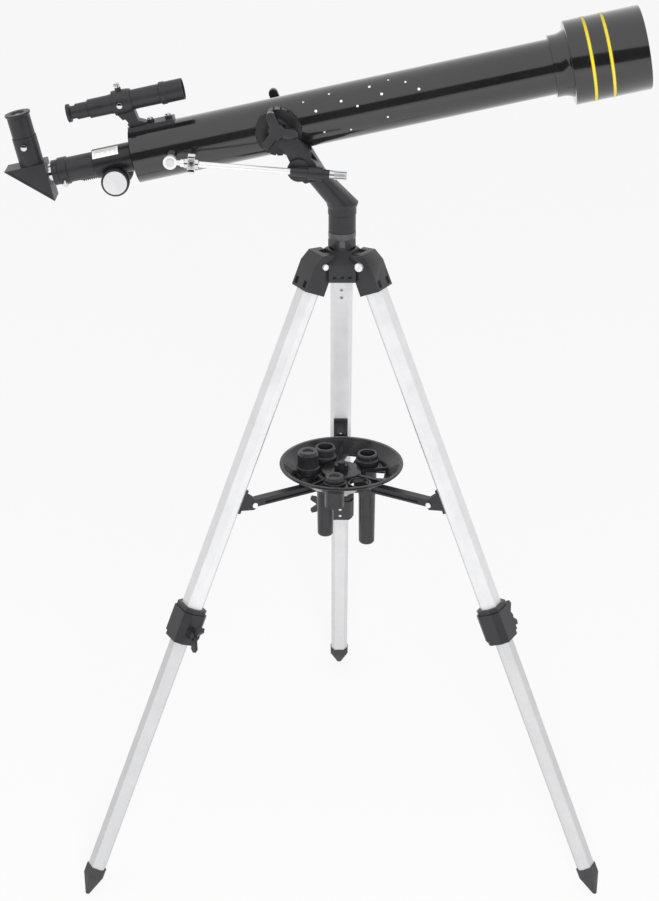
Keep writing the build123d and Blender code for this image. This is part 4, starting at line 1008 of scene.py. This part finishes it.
bowl_section = [(0.0, 0.0030), (0.0, 0.0580), (0.0125, rim_radius - 0.0040), (0.0145, rim_radius - 0.0006),
                (0.0158, rim_radius), (0.0175, rim_radius - 0.0004), (0.0175, rim_radius - 0.0046),
                (0.0163, rim_radius - 0.0056), (0.0024, 0.0570), (0.0022, 0.0545), (0.0022, 0.0030)]
bowl = turned_about(Vector((0, 0, floor_level)), upright, bowl_section, 128)
hung_items = ["spare_eyepiece_low", "spare_eyepiece_high", "erecting_eyepiece", "barlow_lens"]
holes = [centre_of(node) for node in hung_items] + [tray_point(302, 0.043)]
steps = []
steps.append(("UNION", turned_about(Vector((0, 0, floor_level)), upright,
                                    [(0.001, 0.0), (0.001, 0.0265), (0.0062, 0.0262), (0.0070, 0.0250),
                                     (0.0074, 0.0120), (0.0074, 0.0)], 96)))
for azimuth in (90, 152, 226, 277, 330, 10):
    steps.append(("UNION", tray_block(azimuth, 0.024, 0.0585, 0.0028 if azimuth in (152, 10) else 0.0050,
                                      0.0012, 0.0052)))
for hole in holes:
    steps.append(("UNION", rod_between(Vector((hole.x, hole.y, floor_level)), upright, 0.0005, 0.0060, 0.0148, 48)))
for azimuth, width in ((205, 0.016), (352, 0.019), (74, 0.013)):
    steps.append(("DIFFERENCE", tray_block(azimuth, 0.031, 0.0555, width, -0.002, 0.010)))
for hole in holes:
    steps.append(("DIFFERENCE", rod_between(Vector((hole.x, hole.y, floor_level)), upright, -0.002, 0.020,
                                            0.0126, 48)))
steps.append(("DIFFERENCE", turned_about(Vector((0, 0, floor_level)), upright,
                                         [(0.0066, 0.0085), (0.0066, 0.0105), (0.010, 0.0105), (0.010, 0.0085)], 64)))
tray_mesh = softened(carved(bowl, steps), 0.0004, 2, 40)
ears = [tray_mesh]
for leg in leg_names:
    start = leg_axes(leg)[0]
    angle = math.degrees(math.atan2(start.y, start.x))
    for way in (-1, 1):
        out = Vector((start.x, start.y, 0)).normalized()
        side = upright.cross(out)
        place = frame_at(Vector((0, 0, floor_level)) + side * way * 0.00705, out, upright)
        points = [(0.023, -0.00125), (0.037, -0.00125), (0.037, 0.00125), (0.023, 0.00125)]
        ears.append(prism(points, place, tray_low.z - floor_level + 0.0001, 0.001))
tray_piece = finish_piece(together(ears), "moulded_tray", tray_black, "tray")
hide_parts("tray")

# %% [markdown]
# ## Leg hardware
# Bright rivets hold each leg's tube in its head, two small screws sit in each clamp's inner face, and
# the brace pins have bright domed heads. All of them are domed discs on the leg's own faces, so first
# every leg gets a frame from its joints.

# %% Rivets, clamp screws and pin heads
for leg in leg_names:
    start, outwards, tangent, down = leg_axes(leg)
    inwards = -outwards
    tube_face = span(f"leg_upper_{leg}", inwards, start)[1]
    rivets = [domed_disc(0.0021, 0.0009, frame_at(start + down * along + inwards * (tube_face - 0.0001),
                                                  tangent, inwards))
              for along in (0.0583, 0.0713)]
    finish_piece(together(rivets), f"leg_rivets_{leg}", steel, f"leg_{leg}")
    clamp_low, clamp_high = span(f"leg_clamp_{leg}", down, start)
    clamp_face = span(f"leg_clamp_{leg}", inwards, start)[1]
    height = clamp_high - clamp_low
    print(leg, "clamp from", round(clamp_low, 4), "to", round(clamp_high, 4), "face", round(clamp_face, 4))
    screws = [domed_disc(0.0021, 0.0010, frame_at(start + down * (0.4625 + along) + inwards * 0.0159,
                                                  tangent, inwards))
              for along in (0.0230, 0.0370)]
    finish_piece(together(screws), f"clamp_screws_{leg}", bright_zinc, f"leg_{leg}")
    pin = start + down * 0.3144 + inwards * 0.0308
    heads = []
    for way in (tangent, -tangent):
        near_pin = [v.co for v in nodes[f"brace_hinge_{leg}"].data.vertices
                    if (v.co - pin - tangent * (v.co - pin).dot(tangent)).length < 0.0085]
        reach = max((p - pin).dot(way) for p in near_pin)
        heads.append(domed_disc(0.0036, 0.0011, frame_at(pin + way * (reach - 0.0001), outwards, way)))
    finish_piece(together(heads), f"brace_pin_heads_{leg}", bright_zinc, f"leg_{leg}")
    plate = start + down * 0.3235
    plate_reach = max((v.co - start).dot(inwards) for v in nodes[f"brace_hinge_{leg}"].data.vertices
                      if (v.co - start).dot(inwards) < tube_face + 0.0055)
    fixing = domed_disc(0.0026, 0.0010, frame_at(plate + inwards * (plate_reach - 0.0001), tangent, inwards))
    finish_piece(fixing, f"hinge_rivet_{leg}", bright_zinc, f"leg_{leg}")

# %% [markdown]
# ## Hub bolts
# Each leg turns on a bolt. It has a broad bright head with a dimple on one side of the hub and a small
# cap nut on the other. Both ends and the shank are turned as one section about the bolt's axis.

# %% Turned hub bolts
bolts = []
for leg in leg_names:
    start, outwards, tangent, down = leg_axes(leg)
    head = [(-0.0213, 0.0), (-0.0213, 0.0007), (-0.0209, 0.0011), (-0.0212, 0.0016), (-0.0213, 0.0040),
            (-0.0209, 0.0050), (-0.0203, 0.0054), (-0.0173, 0.0054), (-0.0173, 0.0030)]
    nut = [(0.0173, 0.0030), (0.0173, 0.0038), (0.0203, 0.0038), (0.0211, 0.0029), (0.0213, 0.0015), (0.0213, 0.0)]
    bolts.append(turned_about(start, tangent, head + nut, 48))
bolt_piece = finish_piece(together(bolts), "turned_hub_bolts", bright_zinc, "base")
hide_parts("leg_pivot_bolts")

# %% [markdown]
# ## Ribs on the long accessories
# The two long barrels below the tray have fine lengthwise ribs at their upper end. Each rib is a thin
# rounded bar, repeated round the barrel.

# %% Ribbed grips
for node, radius in (("erecting_eyepiece", 0.0115), ("barlow_lens", 0.0115)):
    low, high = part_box(node)
    middle = centre_of(node)
    ring_level = high[2] - (0.0113 if node == "erecting_eyepiece" else 0.0134)
    ribs = []
    count = 26
    for index in range(count):
        angle = 2 * math.pi * index / count
        out = Vector((math.cos(angle), math.sin(angle), 0))
        foot = Vector((middle.x, middle.y, ring_level - 0.0155)) + out * (radius - 0.00005)
        rib = bmesh.new()
        bmesh.ops.create_cube(rib, size=1.0)
        bmesh.ops.scale(rib, vec=(0.0150, 0.0010, 0.0009), verts=rib.verts)
        edges = [e for e in rib.edges]
        bmesh.ops.bevel(rib, geom=edges, offset=0.00025, offset_type="OFFSET", segments=2, profile=0.5,
                        affect="EDGES", material=-1, clamp_overlap=True)
        bmesh.ops.transform(rib, matrix=frame_at(foot, Vector((0, 0, 1)), out), verts=rib.verts)
        ribs.append(rib)
    finish_piece(together(ribs), f"{node}_ribs", barrel_black, node)

# %% [markdown]
# ## Floor, light and camera
# The studio is plain: a white floor and white surroundings, soft lamps, and a dark card behind the
# camera. The card is what draws the dark band along the glossy tube; the camera itself doesn't see it.

# %% Floor
def plain(name, colour, roughness):
    """A matt studio surface with the slightest unevenness."""
    material = finish(name, tuple(c * 0.99 for c in colour), colour, roughness, roughness + 0.05, 60, 0.0,
                      smudge=2.0)
    return material


floor_mesh = bmesh.new()
bmesh.ops.create_grid(floor_mesh, x_segments=1, y_segments=1, size=7.0)
bmesh.ops.translate(floor_mesh, verts=floor_mesh.verts, vec=(0, 4.0, cad_box[0][2] - 0.0002))
floor_data = bpy.data.meshes.new("floor")
floor_mesh.to_mesh(floor_data)
floor_mesh.free()
floor = bpy.data.objects.new("floor", floor_data)
bpy.context.scene.collection.objects.link(floor)
floor_paint = plain("studio_floor", (0.93, 0.93, 0.93), 0.9)
floor_tree = floor_paint.node_tree
white = floor_tree.nodes.new("ShaderNodeEmission")
white.inputs["Strength"].default_value = 1.0
seen = floor_tree.nodes.new("ShaderNodeLightPath")
directly = floor_tree.nodes.new("ShaderNodeMath")
directly.operation = "MAXIMUM"
at_all = floor_tree.nodes.new("ShaderNodeMath")
at_all.operation = "MAXIMUM"
share = floor_tree.nodes.new("ShaderNodeMath")
share.operation = "MULTIPLY"
share.inputs[1].default_value = 0.86
paper = floor_tree.nodes.new("ShaderNodeMixShader")
floor_tree.links.new(seen.outputs["Is Camera Ray"], directly.inputs[0])
floor_tree.links.new(seen.outputs["Is Glossy Ray"], directly.inputs[1])
floor_tree.links.new(directly.outputs[0], at_all.inputs[0])
floor_tree.links.new(seen.outputs["Is Transmission Ray"], at_all.inputs[1])
floor_tree.links.new(at_all.outputs[0], share.inputs[0])
floor_tree.links.new(share.outputs[0], paper.inputs[0])
floor_tree.links.new(floor_tree.nodes["Principled BSDF"].outputs[0], paper.inputs[1])
floor_tree.links.new(white.outputs[0], paper.inputs[2])
floor_tree.links.new(paper.outputs[0], floor_tree.nodes["Material Output"].inputs["Surface"])
floor_data.materials.append(floor_paint)

card_mesh = bmesh.new()
bmesh.ops.create_grid(card_mesh, x_segments=1, y_segments=1, size=1.0)
card_place = Matrix.Translation((0, -4.2, 1.5)) @ Matrix.Rotation(math.radians(-90), 4, "X") \
    @ Matrix.Diagonal((4.5, 1.25, 1.0, 1.0))
bmesh.ops.transform(card_mesh, matrix=card_place, verts=card_mesh.verts)
card_data = bpy.data.meshes.new("dark_card")
card_mesh.to_mesh(card_data)
card_mesh.free()
card = bpy.data.objects.new("dark_card", card_data)
bpy.context.scene.collection.objects.link(card)
card_data.materials.append(plain("dark_card", (0.015, 0.015, 0.015), 0.9))
card.visible_camera = False
card.visible_diffuse = False
card.visible_shadow = False
print("stage", floor.name, card.name)

# %% World and lamps
world = bpy.data.worlds.new("studio")
bpy.context.scene.world = world
world.use_nodes = True
tree = world.node_tree
sky = tree.nodes["Background"]
sky.inputs["Color"].default_value = (1.0, 1.0, 1.0, 1.0)
sky.inputs["Strength"].default_value = 0.48
plain_white = tree.nodes.new("ShaderNodeBackground")
plain_white.inputs["Color"].default_value = (1.0, 1.0, 1.0, 1.0)
plain_white.inputs["Strength"].default_value = 1.0
rays = tree.nodes.new("ShaderNodeLightPath")
either = tree.nodes.new("ShaderNodeMath")
either.operation = "MAXIMUM"
either_too = tree.nodes.new("ShaderNodeMath")
either_too.operation = "MAXIMUM"
blend = tree.nodes.new("ShaderNodeMixShader")
tree.links.new(rays.outputs["Is Camera Ray"], either.inputs[0])
tree.links.new(rays.outputs["Is Glossy Ray"], either.inputs[1])
tree.links.new(either.outputs[0], either_too.inputs[0])
tree.links.new(rays.outputs["Is Transmission Ray"], either_too.inputs[1])
tree.links.new(either_too.outputs[0], blend.inputs[0])
tree.links.new(sky.outputs[0], blend.inputs[1])
tree.links.new(plain_white.outputs[0], blend.inputs[2])
tree.links.new(blend.outputs[0], tree.nodes["World Output"].inputs["Surface"])


def soft_lamp(name, place, aim, size, power):
    """A square area lamp at a place, turned to a point."""
    lamp = bpy.data.lights.new(name, "AREA")
    lamp.shape = "SQUARE"
    lamp.size = size
    lamp.energy = power
    holder = bpy.data.objects.new(name, lamp)
    holder.location = place
    holder.rotation_euler = (Vector(aim) - Vector(place)).to_track_quat("-Z", "Y").to_euler()
    holder.visible_glossy = False
    bpy.context.scene.collection.objects.link(holder)
    return holder


soft_lamp("overhead", (-0.6, -0.8, 3.4), (0, 0, 0.6), 2.2, 12)
soft_lamp("front", (0.2, -3.4, 1.5), (0, 0, 0.6), 1.2, 112)

# %% Camera
camera = bpy.data.cameras.new("camera")
camera.sensor_fit = "VERTICAL"
camera.sensor_height = 36.0
camera.lens = 71.92
camera.clip_end = 60.0
viewer = bpy.data.objects.new("camera", camera)
viewer.location = (-0.01533, -2.0940, 1.5275)
viewer.rotation_euler = (math.radians(90 - 24.979), 0.0, 0.0)
bpy.context.scene.collection.objects.link(viewer)
bpy.context.scene.camera = viewer
bpy.context.scene.view_settings.view_transform = "Standard"
